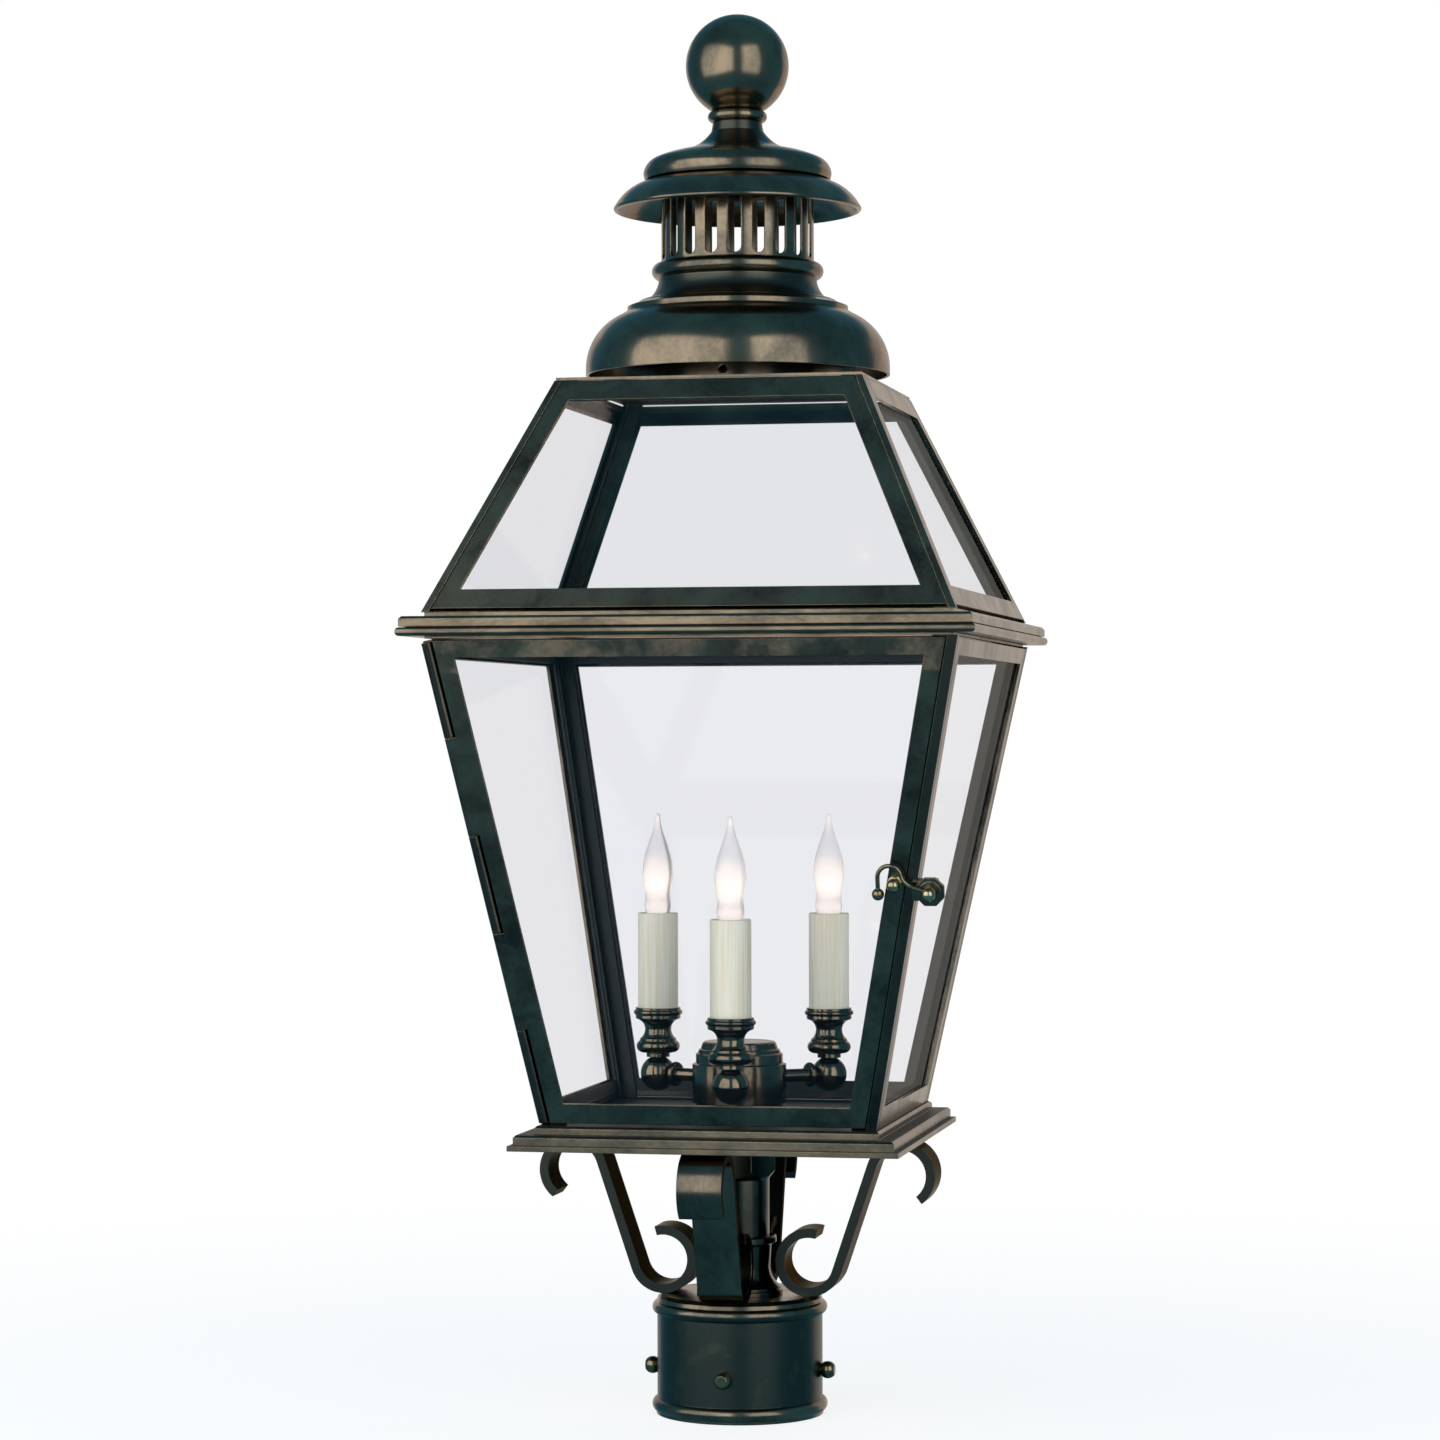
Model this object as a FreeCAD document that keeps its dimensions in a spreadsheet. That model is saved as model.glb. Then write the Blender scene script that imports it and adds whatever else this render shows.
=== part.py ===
import FreeCAD, Part
import math
import os
import Sketcher
from FreeCAD import Placement, Rotation, Vector

# Post-top lantern: a tapered square cabin with a hinged glass door, three candle lamps inside,
# a glazed hipped roof, a round vent stack with a ball finial, and a round fitter that slips over a
# post. Millimetres, +Z up, origin on the axis at the foot of the fitter, door towards -Y.

doc = FreeCAD.newDocument("Lantern")


# ---------------------------------------------------------------- driving sizes

class Size:
    """A length, ratio or angle that knows its value and the sheet expression behind it."""

    def __init__(self, value, text):
        self.value = value
        self.text = text

    def __add__(self, other):
        other = size_of(other)
        return Size(self.value + other.value, f"({self.text} + {other.text})")

    def __sub__(self, other):
        other = size_of(other)
        return Size(self.value - other.value, f"({self.text} - {other.text})")

    def __mul__(self, other):
        other = size_of(other)
        return Size(self.value * other.value, f"({self.text} * {other.text})")

    def __truediv__(self, other):
        other = size_of(other)
        return Size(self.value / other.value, f"({self.text} / {other.text})")

    def __neg__(self):
        return Size(-self.value, f"(0 - {self.text})")

    def __radd__(self, other):
        return size_of(other) + self

    def __rsub__(self, other):
        return size_of(other) - self

    __rmul__ = __mul__


def size_of(number):
    """Lets a plain number stand in a sum of sizes."""
    return number if isinstance(number, Size) else Size(float(number), f"{float(number):.6f}")


def sine(angle):
    return Size(math.sin(math.radians(angle.value)), f"sin({angle.text})")


def cosine(angle):
    return Size(math.cos(math.radians(angle.value)), f"cos({angle.text})")


def slope_angle(run, rise):
    """The angle from the vertical of a line that goes run sideways for rise upwards."""
    return Size(math.degrees(math.atan(run.value / rise.value)), f"(atan({(run / rise).text}) / 1 deg)")


sheet = doc.addObject("Spreadsheet::Sheet", "Sizes")
sheet_rows = 0


def cell(alias, value, note):
    """Adds one driving size to the sheet."""
    global sheet_rows
    sheet_rows += 1
    sheet.set(f"A{sheet_rows}", note)
    sheet.set(f"B{sheet_rows}", str(value))
    sheet.setAlias(f"B{sheet_rows}", alias)
    return Size(float(value), f"Sizes.{alias}")


# heights, from the foot of the fitter
fitter_top = cell("fitter_top", 65.4, "top face of the post fitter")
stem_joint = cell("stem_joint", 97, "stem base meets stem tube")
coupling_foot = cell("coupling_foot", 127.8, "foot of the faceted coupling")
tray_foot = cell("tray_foot", 151, "underside of the tray")
pan_foot = cell("pan_foot", 153.8, "foot of the pan on the tray")
plinth_foot = cell("plinth_foot", 159.3, "foot of the plinth step")
cabin_foot = cell("cabin_foot", 163.5, "cabin floor, foot of the corner posts")
cabin_top = cell("cabin_top", 421.5, "top of the corner posts")
cornice_foot = cell("cornice_foot", 422.6, "underside of the cornice band")
cap_foot = cell("cap_foot", 427.6, "cornice band meets cornice cap")
cap_top = cell("cap_top", 433, "top edge of the cornice cap")
roof_foot = cell("roof_foot", 435.2, "foot of the roof hips")
roof_top = cell("roof_top", 560, "top of the roof hips")
crown_height = cell("crown_height", 601.4, "top of the chimney, under the dome")
neck_foot = cell("neck_foot", 603, "foot of the vent neck")
sleeve_foot = cell("sleeve_foot", 629.8, "foot of the slotted vent sleeve")
hat_foot = cell("hat_foot", 675.4, "vent cap rests on the brim here")
finial_foot = cell("finial_foot", 707.5, "foot of the finial collar")
ball_foot = cell("ball_foot", 713.5, "ball rests on the finial collar")
ball_middle = cell("ball_middle", 738.4, "centre of the finial ball")

# half widths of the square parts
tray_half = cell("tray_half", 104.7, "half width of the tray lip")
pan_half = cell("pan_half", 102, "half width of the pan")
plinth_half = cell("plinth_half", 92.8, "half width of the plinth step")
cabin_low_half = cell("cabin_low_half", 90.75, "half width of the cabin at its foot")
cabin_high_half = cell("cabin_high_half", 141.8, "half width of the cabin at its top")
cornice_half = cell("cornice_half", 152, "half width of the cornice band")
cap_half = cell("cap_half", 150.5, "half width of the cornice cap at its foot")
cornice_open = cell("cornice_open", 126, "half width of the opening in the cornice")
spigot_half = cell("spigot_half", 139.4, "half width of the steps that part the cornice rings")
roof_low_half = cell("roof_low_half", 140.9, "half width of the roof at its foot")
roof_high_half = cell("roof_high_half", 83.1, "half width of the roof at its top")

# sheet metal, glass and frame sections
sheet_wall = cell("sheet_wall", 1.6, "thickness of spun and folded sheet metal")
pane = cell("pane", 2.2, "thickness of the glass")
frame_face = cell("frame_face", 1.7, "thickness of a glazing frame's front flange")
frame_wall = cell("frame_wall", 3, "width of a glazing frame's outer wall")
frame_depth = cell("frame_depth", 5.25, "depth of a cabin frame")
door_depth = cell("door_depth", 4.95, "depth of the door frame")
roof_frame_depth = cell("roof_frame_depth", 3.5, "depth of a roof frame")
stile = cell("stile", 9.5, "width of a cabin frame's upright")
bottom_rail = cell("bottom_rail", 10.6, "height of a cabin frame's bottom rail")
top_rail = cell("top_rail", 8.9, "height of a cabin frame's top rail")
roof_stile = cell("roof_stile", 9.3, "width of a roof frame's upright")
roof_bottom_rail = cell("roof_bottom_rail", 11, "height of a roof frame's bottom rail")
roof_top_rail = cell("roof_top_rail", 11.6, "height of a roof frame's top rail")
glass_gap = cell("glass_gap", 0.3, "play round a pane inside its frame")
post_leg = cell("post_leg", 5.4, "visible leg of a corner post")
post_gap = cell("post_gap", 0.9, "shadow gap beside a corner post")
post_reach = cell("post_reach", 14, "how far a corner post backs the frames")
hip_leg = cell("hip_leg", 3.9, "visible leg of a roof hip")
hip_back = cell("hip_back", 4.05, "depth where a hip backs the frames")
hip_gap = cell("hip_gap", 0.7, "shadow gap beside a hip")
hip_reach = cell("hip_reach", 12, "how far a hip backs the frames")

# hinge, keeper and hook
knuckle = cell("knuckle", 3, "radius of the hinge knuckles")
hinge_pin_radius = cell("hinge_pin_radius", 1.3, "radius of the hinge pin")
knuckle_gap = cell("knuckle_gap", 0.4, "play between two knuckles")
knuckle_count = 5
door_lift = cell("door_lift", 165.2, "lowest edge of the door")
latch_height = cell("latch_height", 290.7, "height where the hook's pivot line meets the door's plane")
latch_side = cell("latch_side", 124, "distance of the hook's pivot to the right")
latch_proud = cell("latch_proud", 6, "distance of the hook's plane from the door's face")
latch_disc = cell("latch_disc", 7.9, "radius of the eight-sided latch plate")
hook_wire = cell("hook_wire", 1.15, "radius of the hook's wire")
pivot_radius = cell("pivot_radius", 1.2, "radius of the pivot screw")
keeper_ball = cell("keeper_ball", 3.6, "radius of the keeper's ball")
keeper_side = cell("keeper_side", 105.2, "distance of the keeper to the right")
keeper_height = cell("keeper_height", 294.3, "height of the keeper's foot on the door")

# fitter, stem and brackets
socket_bore = cell("socket_bore", 39.4, "radius of the post socket")
socket_depth = cell("socket_depth", 54, "depth of the post socket")
barrel = cell("barrel", 45.3, "radius of the fitter's barrel")
screw_height = cell("screw_height", 24.3, "height of the set screws")
screw_radius = cell("screw_radius", 2.5, "radius of a set screw's thread")
stem_radius = cell("stem_radius", 16.3, "radius of the stem tube")
nipple_radius = cell("nipple_radius", 4.9, "radius of the threaded wiring tube")
nipple_bore = cell("nipple_bore", 3.2, "bore of the threaded wiring tube")
coupling_flat = cell("coupling_flat", 17.2, "distance from axis to the coupling's flats")
strap = cell("strap", 5, "thickness of a bracket's strap")
strap_width = cell("strap_width", 24, "width of a bracket's strap")
curl_low_out = cell("curl_low_out", 40.5, "distance of the lower curl's centre from the axis")
curl_low = cell("curl_low", 18.5, "outer radius of the lower curl")
curl_high_out = cell("curl_high_out", 91, "distance of the upper curl's centre from the axis")
curl_high = cell("curl_high", 19, "outer radius of the upper curl")

# lamps
lamp_out = cell("lamp_out", 55, "distance of a lamp from the axis")
lamp_first = cell("lamp_first", -83.5, "bearing of the first lamp")
lamp_middle = cell("lamp_middle", 183, "height of the ball elbows' centres")
hub_radius = cell("hub_radius", 25.8, "radius of the lamp hub")
hub_top = cell("hub_top", 203, "top of the lamp hub")
arm_radius = cell("arm_radius", 3.6, "radius of a lamp arm")
elbow_radius = cell("elbow_radius", 9.8, "radius of a ball elbow")
elbow_top = cell("elbow_top", 192.2, "flat on top of a ball elbow")
cup_top = cell("cup_top", 219.6, "top of a candle cup")
cup_floor = cell("cup_floor", 217, "floor of a candle cup")
sleeve_radius = cell("sleeve_radius", 11.15, "radius of a candle sleeve")
sleeve_top = cell("sleeve_top", 272.3, "top of a candle sleeve")
bulb_base = cell("bulb_base", 6, "radius of a bulb's screw base")
bulb_foot = cell("bulb_foot", 250, "foot of a bulb's screw base")
bulb_top = cell("bulb_top", 327.6, "tip of a bulb")

# chimney, dome and vent
chimney_radius = cell("chimney_radius", 42, "radius of the chimney under the dome")
dome_radius = cell("dome_radius", 83.5, "radius of the dome's rim")
dome_edge = cell("dome_edge", 568.3, "lowest edge of the dome")
dome_curve = cell("dome_curve", 31.9, "radius of the dome's shoulder")
vent_bore = cell("vent_bore", 40, "clear radius of the flue")
vent_radius = cell("vent_radius", 41.9, "radius of the slotted sleeve")
vent_slots = cell("vent_slots", 20, "number of slots in the sleeve")
slot_width = cell("slot_width", 7, "width of a slot")
brim_radius = cell("brim_radius", 67.5, "radius of the brim's edge")
hat_radius = cell("hat_radius", 51.7, "radius of the vent cap")
bolt_radius = cell("bolt_radius", 3, "radius of the finial bolt")
ball_radius = cell("ball_radius", 28.3, "radius of the finial ball")

doc.recompute()


# ---------------------------------------------------------------- ways of making a piece

parts = {}


def bind(thing, path, length):
    """Ties a property or a constraint of a feature to the sheet."""
    if "Sizes." in length.text:
        thing.setExpression(path, length.text)


def new_body(name):
    return doc.addObject("PartDesign::Body", name)


def new_sketch(body, role, offset=0.0):
    """Starts a sketch on one of a body's own origin planes, or at an offset in front of it."""
    plane = [feature for feature in body.Origin.OriginFeatures if feature.Role == role][0]
    sketch = body.newObject("Sketcher::SketchObject", body.Name + "_outline")
    sketch.AttachmentSupport = (plane, "")
    sketch.MapMode = "FlatFace"
    offset = size_of(offset)
    sketch.AttachmentOffset = Placement(Vector(0, 0, offset.value), Rotation())
    bind(sketch, ".AttachmentOffset.Base.z", offset)
    return sketch


def arc_between(start, end, radius, turn):
    """An arc from start to end; turn is 1 to the left, -1 to the right, 2 or -2 the long way."""
    chord = end - start
    reach = math.sqrt(max(radius ** 2 - chord.Length ** 2 / 4, 0.0))
    side = math.copysign(1, turn) * (1 if abs(turn) == 1 else -1)
    left = Vector(-chord.y, chord.x, 0).normalize()
    centre = (start + end) * 0.5 + left * (reach * side)
    first, last = (start, end) if turn > 0 else (end, start)
    angles = [math.atan2(point.y - centre.y, point.x - centre.x) for point in (first, last)]
    return Part.ArcOfCircle(Part.Circle(centre, Vector(0, 0, 1), radius), *angles)


def draw(sketch, corners, closed=True):
    """Draws an outline. A corner is (x, y), or (x, y, radius, turn) where an arc leads to it."""
    places = [(size_of(corner[0]), size_of(corner[1])) for corner in corners]
    first = 0 if closed else 1
    base = len(sketch.Constraints)
    ends, rules, sizes = [], [], []
    for index in range(first, len(corners)):
        start, end = [Vector(x.value, y.value, 0) for x, y in (places[index - 1], places[index])]
        if len(corners[index]) == 2:
            edge = sketch.addGeometry(Part.LineSegment(start, end), False)
            ends.append((edge, 1, 2))
        else:
            radius, turn = size_of(corners[index][2]), corners[index][3]
            edge = sketch.addGeometry(arc_between(start, end, radius.value, turn), False)
            ends.append((edge, 1, 2) if turn > 0 else (edge, 2, 1))
            rules.append(Sketcher.Constraint("Radius", edge, radius.value))
            sizes.append(radius)
        for kind, length in zip(("DistanceX", "DistanceY"), places[index]):
            rules.append(Sketcher.Constraint(kind, -1, 1, edge, ends[-1][2], length.value))
            sizes.append(length)
    if not closed:
        edge, start_point, end_point = ends[0]
        for kind, length in zip(("DistanceX", "DistanceY"), places[0]):
            rules.append(Sketcher.Constraint(kind, -1, 1, edge, start_point, length.value))
            sizes.append(length)
    for index in range(0 if closed else 1, len(ends)):
        before, here = ends[index - 1], ends[index]
        rules.append(Sketcher.Constraint("Coincident", before[0], before[2], here[0], here[1]))
    sketch.addConstraint(rules)
    for number, length in enumerate(sizes):
        bind(sketch, f"Constraints[{base + number}]", length)


def draw_circle(sketch, x, y, radius):
    """Draws a circle whose centre and radius come from the sheet."""
    x, y, radius = size_of(x), size_of(y), size_of(radius)
    centre = Vector(x.value, y.value, 0)
    base = len(sketch.Constraints)
    edge = sketch.addGeometry(Part.Circle(centre, Vector(0, 0, 1), radius.value), False)
    sketch.addConstraint([Sketcher.Constraint("DistanceX", -1, 1, edge, 3, x.value),
                          Sketcher.Constraint("DistanceY", -1, 1, edge, 3, y.value),
                          Sketcher.Constraint("Radius", edge, radius.value)])
    for number, length in enumerate((x, y, radius)):
        bind(sketch, f"Constraints[{base + number}]", length)


def draw_hexagon(sketch, flat):
    """Draws a hexagon about the axis, given the distance to its flats."""
    corner = flat / cosine(size_of(30))
    angles = [size_of(60 * step) for step in range(6)]
    draw(sketch, [(corner * cosine(angle), corner * sine(angle)) for angle in angles])


def feature(body, kind, sketch, length=None, reverse=False):
    """Adds a pad, a pocket or a turning to a body."""
    made = body.newObject("PartDesign::" + kind, f"{body.Name}_{kind}")
    made.Profile = sketch
    if kind in ("Revolution", "Groove"):
        made.ReferenceAxis = (sketch, ["V_Axis"])
        made.Angle = 360
    else:
        length = size_of(length)
        made.Length = length.value
        bind(made, "Length", length)
        made.Reversed = reverse
    body.Tip = made
    return made


def turned_body(name, corners):
    """A piece turned about the vertical, from half of its section as (radius, height)."""
    body = new_body(name)
    sketch = new_sketch(body, "XZ_Plane")
    draw(sketch, corners)
    feature(body, "Revolution", sketch)
    return body


def keep(label, thing, place=None):
    """Names a finished piece, puts it in its place and lists it as a node."""
    if place is not None:
        thing.Placement = place
    thing.Label = label
    parts[label] = thing
    return thing


def keep_group(label, things):
    """Lists several like pieces as one node of separate solids."""
    group = doc.addObject("Part::Compound", label + "_set")
    group.Links = things
    return keep(label, group)


def turned(label, corners):
    return keep(label, turned_body(label + "_body", corners))


def axle(radius, low, high, place):
    """A plain cylinder along its own z between two heights, for pins, bores and knuckles."""
    low, high, radius = size_of(low), size_of(high), size_of(radius)
    rod = doc.addObject("Part::Cylinder", "Axle")
    rod.Radius = radius.value
    rod.Height = high.value - low.value
    bind(rod, "Radius", radius)
    bind(rod, "Height", high - low)
    rod.Placement = place.multiply(Placement(Vector(0, 0, low.value), Rotation()))
    return rod


def block(corner, spans, place):
    """A plain box in a local frame, from its lowest corner and its three spans."""
    corner, spans = [[size_of(length) for length in three] for three in (corner, spans)]
    box = doc.addObject("Part::Box", "Block")
    for name, span in zip(("Length", "Width", "Height"), spans):
        setattr(box, name, span.value)
        bind(box, name, span)
    offset = Vector(*[length.value for length in corner])
    box.Placement = place.multiply(Placement(offset, Rotation()))
    return box


def fuse(things):
    joined = doc.addObject("Part::MultiFuse", "Joined")
    joined.Shapes = things
    return joined


def cut(base, tool):
    result = doc.addObject("Part::Cut", "Cut")
    result.Base = base
    result.Tool = tool
    return result


def quarter_turn(quarter, place=None):
    """Turns a piece made for the front or the front left corner to another side."""
    turn = Placement(Vector(), Rotation(Vector(0, 0, 1), 90 * quarter))
    return turn if place is None else turn.multiply(place)


def square(half):
    return [(-half, -half), (half, -half), (half, half), (-half, half)]


SIDES = ("front", "right", "back", "left")
CORNERS = ("front_left", "front_right", "back_right", "back_left")


# ---------------------------------------------------------------- post fitter, stem and brackets

def make_fitter():
    """The socket that slips over the post, with a recess in its crown for the lock nut."""
    foot_ring = barrel + 0.5
    bead = 3.7
    crown_edge = barrel - 2.5
    recess = 13
    turned("post_fitter", [
        (socket_bore, 0), (foot_ring, 0), (foot_ring, 1.6), (barrel, 8.6, bead, 1),
        (barrel, 54.6), (barrel, 61.4, 3.5, 1), (barrel - 0.3, fitter_top - 2), (crown_edge, fitter_top),
        (nipple_radius, fitter_top), (nipple_radius, fitter_top - 5.4),
        (recess, fitter_top - 5.4), (recess, socket_depth), (socket_bore, socket_depth)])
    fitter = parts["post_fitter"]
    sketch = new_sketch(fitter, "XZ_Plane")
    draw_circle(sketch, 0, screw_height, screw_radius + 0.02)
    hole = feature(fitter, "Pocket", sketch, barrel + 5)
    pattern = fitter.newObject("PartDesign::PolarPattern", "Screw_holes")
    pattern.Originals = [hole]
    pattern.Axis = ([part for part in fitter.Origin.OriginFeatures if part.Role == "Z_Axis"][0], [""])
    pattern.Angle = 360
    pattern.Occurrences = 4
    fitter.Tip = pattern


def make_set_screws():
    """Four thumb screws with ball heads; their tips stop just short of the socket."""
    tip = socket_bore + 0.6
    head = 4.75
    head_middle = barrel + 3.6
    head_foot = head_middle - 3.51
    screws = []
    for quarter in range(4):
        body = turned_body("Set_screw", [
            (0, tip), (screw_radius, tip), (screw_radius, head_foot), (3.2, head_foot),
            (2.9, head_middle + 3.76, head, 1), (0, head_middle + 3.76)])
        lie_down = Placement(Vector(0, 0, screw_height.value), Rotation(Vector(1, 0, 0), 90))
        body.Placement = quarter_turn(quarter, lie_down)
        screws.append(body)
    keep_group("set_screws", screws)


def make_stem():
    """Spool, tube and faceted coupling, clamped in a stack by the wiring tube."""
    turned("stem_base", [
        (nipple_radius, fitter_top), (23.6, fitter_top), (23.6, fitter_top + 2), (22.6, fitter_top + 2.6),
        (22.6, fitter_top + 3.8), (16.6, fitter_top + 14, 13, -1), (17.4, stem_joint - 5),
        (20.2, stem_joint - 3.6), (20.2, stem_joint - 0.8), (19.4, stem_joint), (nipple_radius, stem_joint)])
    turned("stem_tube", [
        (nipple_radius, stem_joint), (stem_radius, stem_joint), (stem_radius, coupling_foot),
        (nipple_radius, coupling_foot)])
    body = new_body("Stem_coupling")
    sketch = new_sketch(body, "XY_Plane", coupling_foot)
    draw_hexagon(sketch, coupling_flat)
    draw_circle(sketch, 0, 0, nipple_radius)
    feature(body, "Pad", sketch, tray_foot - coupling_foot)
    bevel = new_sketch(body, "XZ_Plane")
    outside = coupling_flat + 6
    draw(bevel, [(stem_radius, coupling_foot - 1), (outside, coupling_foot - 1),
                 (outside, coupling_foot + 9.5), (stem_radius, coupling_foot + 0.2)])
    feature(body, "Groove", bevel)
    keep("stem_coupling", body)


def make_wiring_tube():
    """A threaded tube with a lock nut at each end clamps fitter, stem and tray together."""
    low, high, nut = fitter_top - 9.5, cabin_foot + 10, 4
    turned("wiring_tube", [
        (nipple_bore, low), (nipple_radius, low), (nipple_radius, high), (nipple_bore, high)])
    nuts = []
    for foot in (fitter_top - 5.4 - nut, cabin_foot):
        body = new_body("Lock_nut")
        sketch = new_sketch(body, "XY_Plane", foot)
        draw_hexagon(sketch, size_of(8))
        draw_circle(sketch, 0, 0, nipple_radius)
        feature(body, "Pad", sketch, nut)
        nuts.append(body)
    keep_group("lock_nuts", nuts)


def make_brackets():
    """Four flat straps, each bent into an open S with a curl at each end."""
    low_x, low_y = curl_low_out, fitter_top + curl_low
    high_x, high_y = curl_high_out, tray_foot - curl_high
    across, up = high_x - low_x, high_y - low_y
    span = Size(math.hypot(across.value, up.value), f"sqrt(({across.text})^2 + ({up.text})^2)")
    ratio = (curl_low + curl_high - strap) / span
    lead = Size(math.degrees(math.atan2(up.value, across.value)),
                f"(atan2({up.text}; {across.text}) / 1 deg)")
    swing = Size(math.degrees(math.acos(ratio.value)), f"(acos({ratio.text}) / 1 deg)")
    leave = lead - swing
    low_tip = size_of(75)
    high_tip = size_of(-52)

    def on_curl(x, y, radius, angle):
        return x + radius * cosine(angle), y + radius * sine(angle)

    arrive = leave + 180
    corners = [
        on_curl(low_x, low_y, curl_low, low_tip),
        on_curl(low_x, low_y, curl_low, leave) + (curl_low, 2),
        on_curl(high_x, high_y, curl_high - strap, arrive),
        on_curl(high_x, high_y, curl_high - strap, high_tip) + (curl_high - strap, -2),
        on_curl(high_x, high_y, curl_high, high_tip),
        on_curl(high_x, high_y, curl_high, arrive) + (curl_high, 2),
        on_curl(low_x, low_y, curl_low - strap, leave),
        on_curl(low_x, low_y, curl_low - strap, low_tip) + (curl_low - strap, -2)]
    for quarter, side in enumerate(SIDES):
        body = new_body("Scroll_bracket")
        sketch = new_sketch(body, "XZ_Plane", -strap_width / 2)
        draw(sketch, corners)
        feature(body, "Pad", sketch, strap_width)
        keep(f"scroll_bracket_{side}", body, quarter_turn(quarter - 1))


make_fitter()
make_set_screws()
make_stem()
make_wiring_tube()
make_brackets()


# ---------------------------------------------------------------- tray and cabin floor

def dress_edges(body, kind, rims, size):
    """Rounds or bevels a square piece's outer edges, each given by its height and half width."""
    doc.recompute()
    last = body.Tip
    names = []
    for number, edge in enumerate(last.Shape.Edges):
        middle = edge.CenterOfMass
        out = max(abs(middle.x), abs(middle.y))
        if any(abs(middle.z - height.value) < 0.01 and abs(out - half.value) < 0.01 for height, half in rims):
            names.append(f"Edge{number + 1}")
    dressing = body.newObject("PartDesign::" + kind, f"{body.Name}_{kind}")
    dressing.Base = (last, names)
    setattr(dressing, "Radius" if kind == "Fillet" else "Size", size)
    body.Tip = dressing


def make_tray():
    """A flat square plate with a stepped, hollow pan on it that forms the cabin floor."""
    body = new_body("Tray")
    sketch = new_sketch(body, "XY_Plane", tray_foot)
    draw(sketch, square(tray_half))
    draw_circle(sketch, 0, 0, nipple_radius)
    feature(body, "Pad", sketch, pan_foot - tray_foot)
    keep("base_tray", body)
    body = new_body("Pan")
    for half, low, high in ((pan_half, pan_foot, plinth_foot), (plinth_half, plinth_foot, cabin_foot)):
        sketch = new_sketch(body, "XY_Plane", low)
        draw(sketch, square(half))
        feature(body, "Pad", sketch, high - low)
    dress_edges(body, "Chamfer", [(plinth_foot, pan_half), (cabin_foot, plinth_half)], 1.3)
    steps = ((pan_half, pan_foot, plinth_foot), (plinth_half, plinth_foot - sheet_wall, cabin_foot))
    for half, low, high in steps:
        sketch = new_sketch(body, "XY_Plane", low)
        draw(sketch, square(half - sheet_wall))
        feature(body, "Pocket", sketch, high - sheet_wall - low, reverse=True)
    sketch = new_sketch(body, "XY_Plane", cabin_foot)
    draw_circle(sketch, 0, 0, nipple_radius)
    feature(body, "Pocket", sketch, cabin_foot - pan_foot)
    keep("base_pan", body)


make_tray()


# ---------------------------------------------------------------- corner posts and glazed frames

class Face:
    """One sloping side of the cabin or the roof, seen flat: x across it, y up its slope."""

    def __init__(self, low_half, high_half, foot, top):
        self.half = low_half
        self.foot = foot
        self.tilt = slope_angle(high_half - low_half, top - foot)
        self.slope = (top - foot) / cosine(self.tilt)

    def edge(self, up):
        """Half the face's width at a distance up its slope."""
        return self.half + up * sine(self.tilt)

    def up_to(self, height):
        """How far up the slope the outer skin reaches a height."""
        return (height - self.foot) / cosine(self.tilt)

    def trapezoid(self, low, high, left, right):
        """The outline between two heights up the slope, set in from both corner lines."""
        return [(left - self.edge(low), low), (self.edge(low) - right, low),
                (self.edge(high) - right, high), (left - self.edge(high), high)]

    def placement(self, quarter):
        stand = Placement(Vector(0, -self.half.value, self.foot.value),
                          Rotation(Vector(1, 0, 0), 90 + self.tilt.value))
        return quarter_turn(quarter, stand)


cabin = Face(cabin_low_half, cabin_high_half, cabin_foot, cabin_top)
roof = Face(roof_low_half, roof_high_half, roof_foot, roof_top)


def corner_bar(name, face, leg, back, reach, bead=True):
    """A bar of constant section up a corner: an outer bead and two legs that back the frames."""
    neck = 0.5
    thick = sheet_wall
    section = [(leg, leg - neck), (back + 0.3, back), (reach, back), (reach, back + thick),
               (back + thick, back + thick), (back + thick, reach), (back, reach), (back, back + 0.3),
               (leg - neck, leg), (size_of(0), leg), (size_of(0), size_of(0)), (leg, size_of(0))]
    if not bead:
        section = [(back, back)] + section[2:7]
    body = new_body(name)
    rings = []
    for height, half in ((size_of(0), face.half), (face.slope * cosine(face.tilt), face.edge(face.slope))):
        sketch = new_sketch(body, "XY_Plane", height)
        draw(sketch, [(x - half, y - half) for x, y in section])
        rings.append(sketch)
    loft = body.newObject("PartDesign::AdditiveLoft", name + "_loft")
    loft.Profile = rings[0]
    loft.Sections = rings[1:]
    loft.Ruled = True
    body.Tip = loft
    body.Placement = Placement(Vector(0, 0, face.foot.value), Rotation())
    return body


def glazing_frame(name, face, low, high, insets, widths, depth):
    """A frame with a front flange, an outer wall behind it and a rebate for the pane."""
    upright, bottom, top = widths
    left, right = insets
    body = new_body(name)
    sketch = new_sketch(body, "XY_Plane")
    draw(sketch, face.trapezoid(low, high, left, right))
    feature(body, "Pad", sketch, depth, reverse=True)
    sketch = new_sketch(body, "XY_Plane", -depth)
    draw(sketch, face.trapezoid(low + frame_wall, high - frame_wall, left + frame_wall, right + frame_wall))
    feature(body, "Pocket", sketch, depth - frame_face, reverse=True)
    sketch = new_sketch(body, "XY_Plane")
    draw(sketch, face.trapezoid(low + bottom, high - top, left + upright, right + upright))
    feature(body, "Pocket", sketch, depth)
    return body


def glass_pane(name, face, low, high, insets):
    """A flat pane that lies in the rebate behind the front flange."""
    wall = frame_wall + glass_gap
    left, right = insets
    body = new_body(name)
    sketch = new_sketch(body, "XY_Plane", -frame_face)
    draw(sketch, face.trapezoid(low + wall, high - wall, left + wall, right + wall))
    feature(body, "Pad", sketch, pane if face is cabin else roof_frame_depth - frame_face, reverse=True)
    return body


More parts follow.
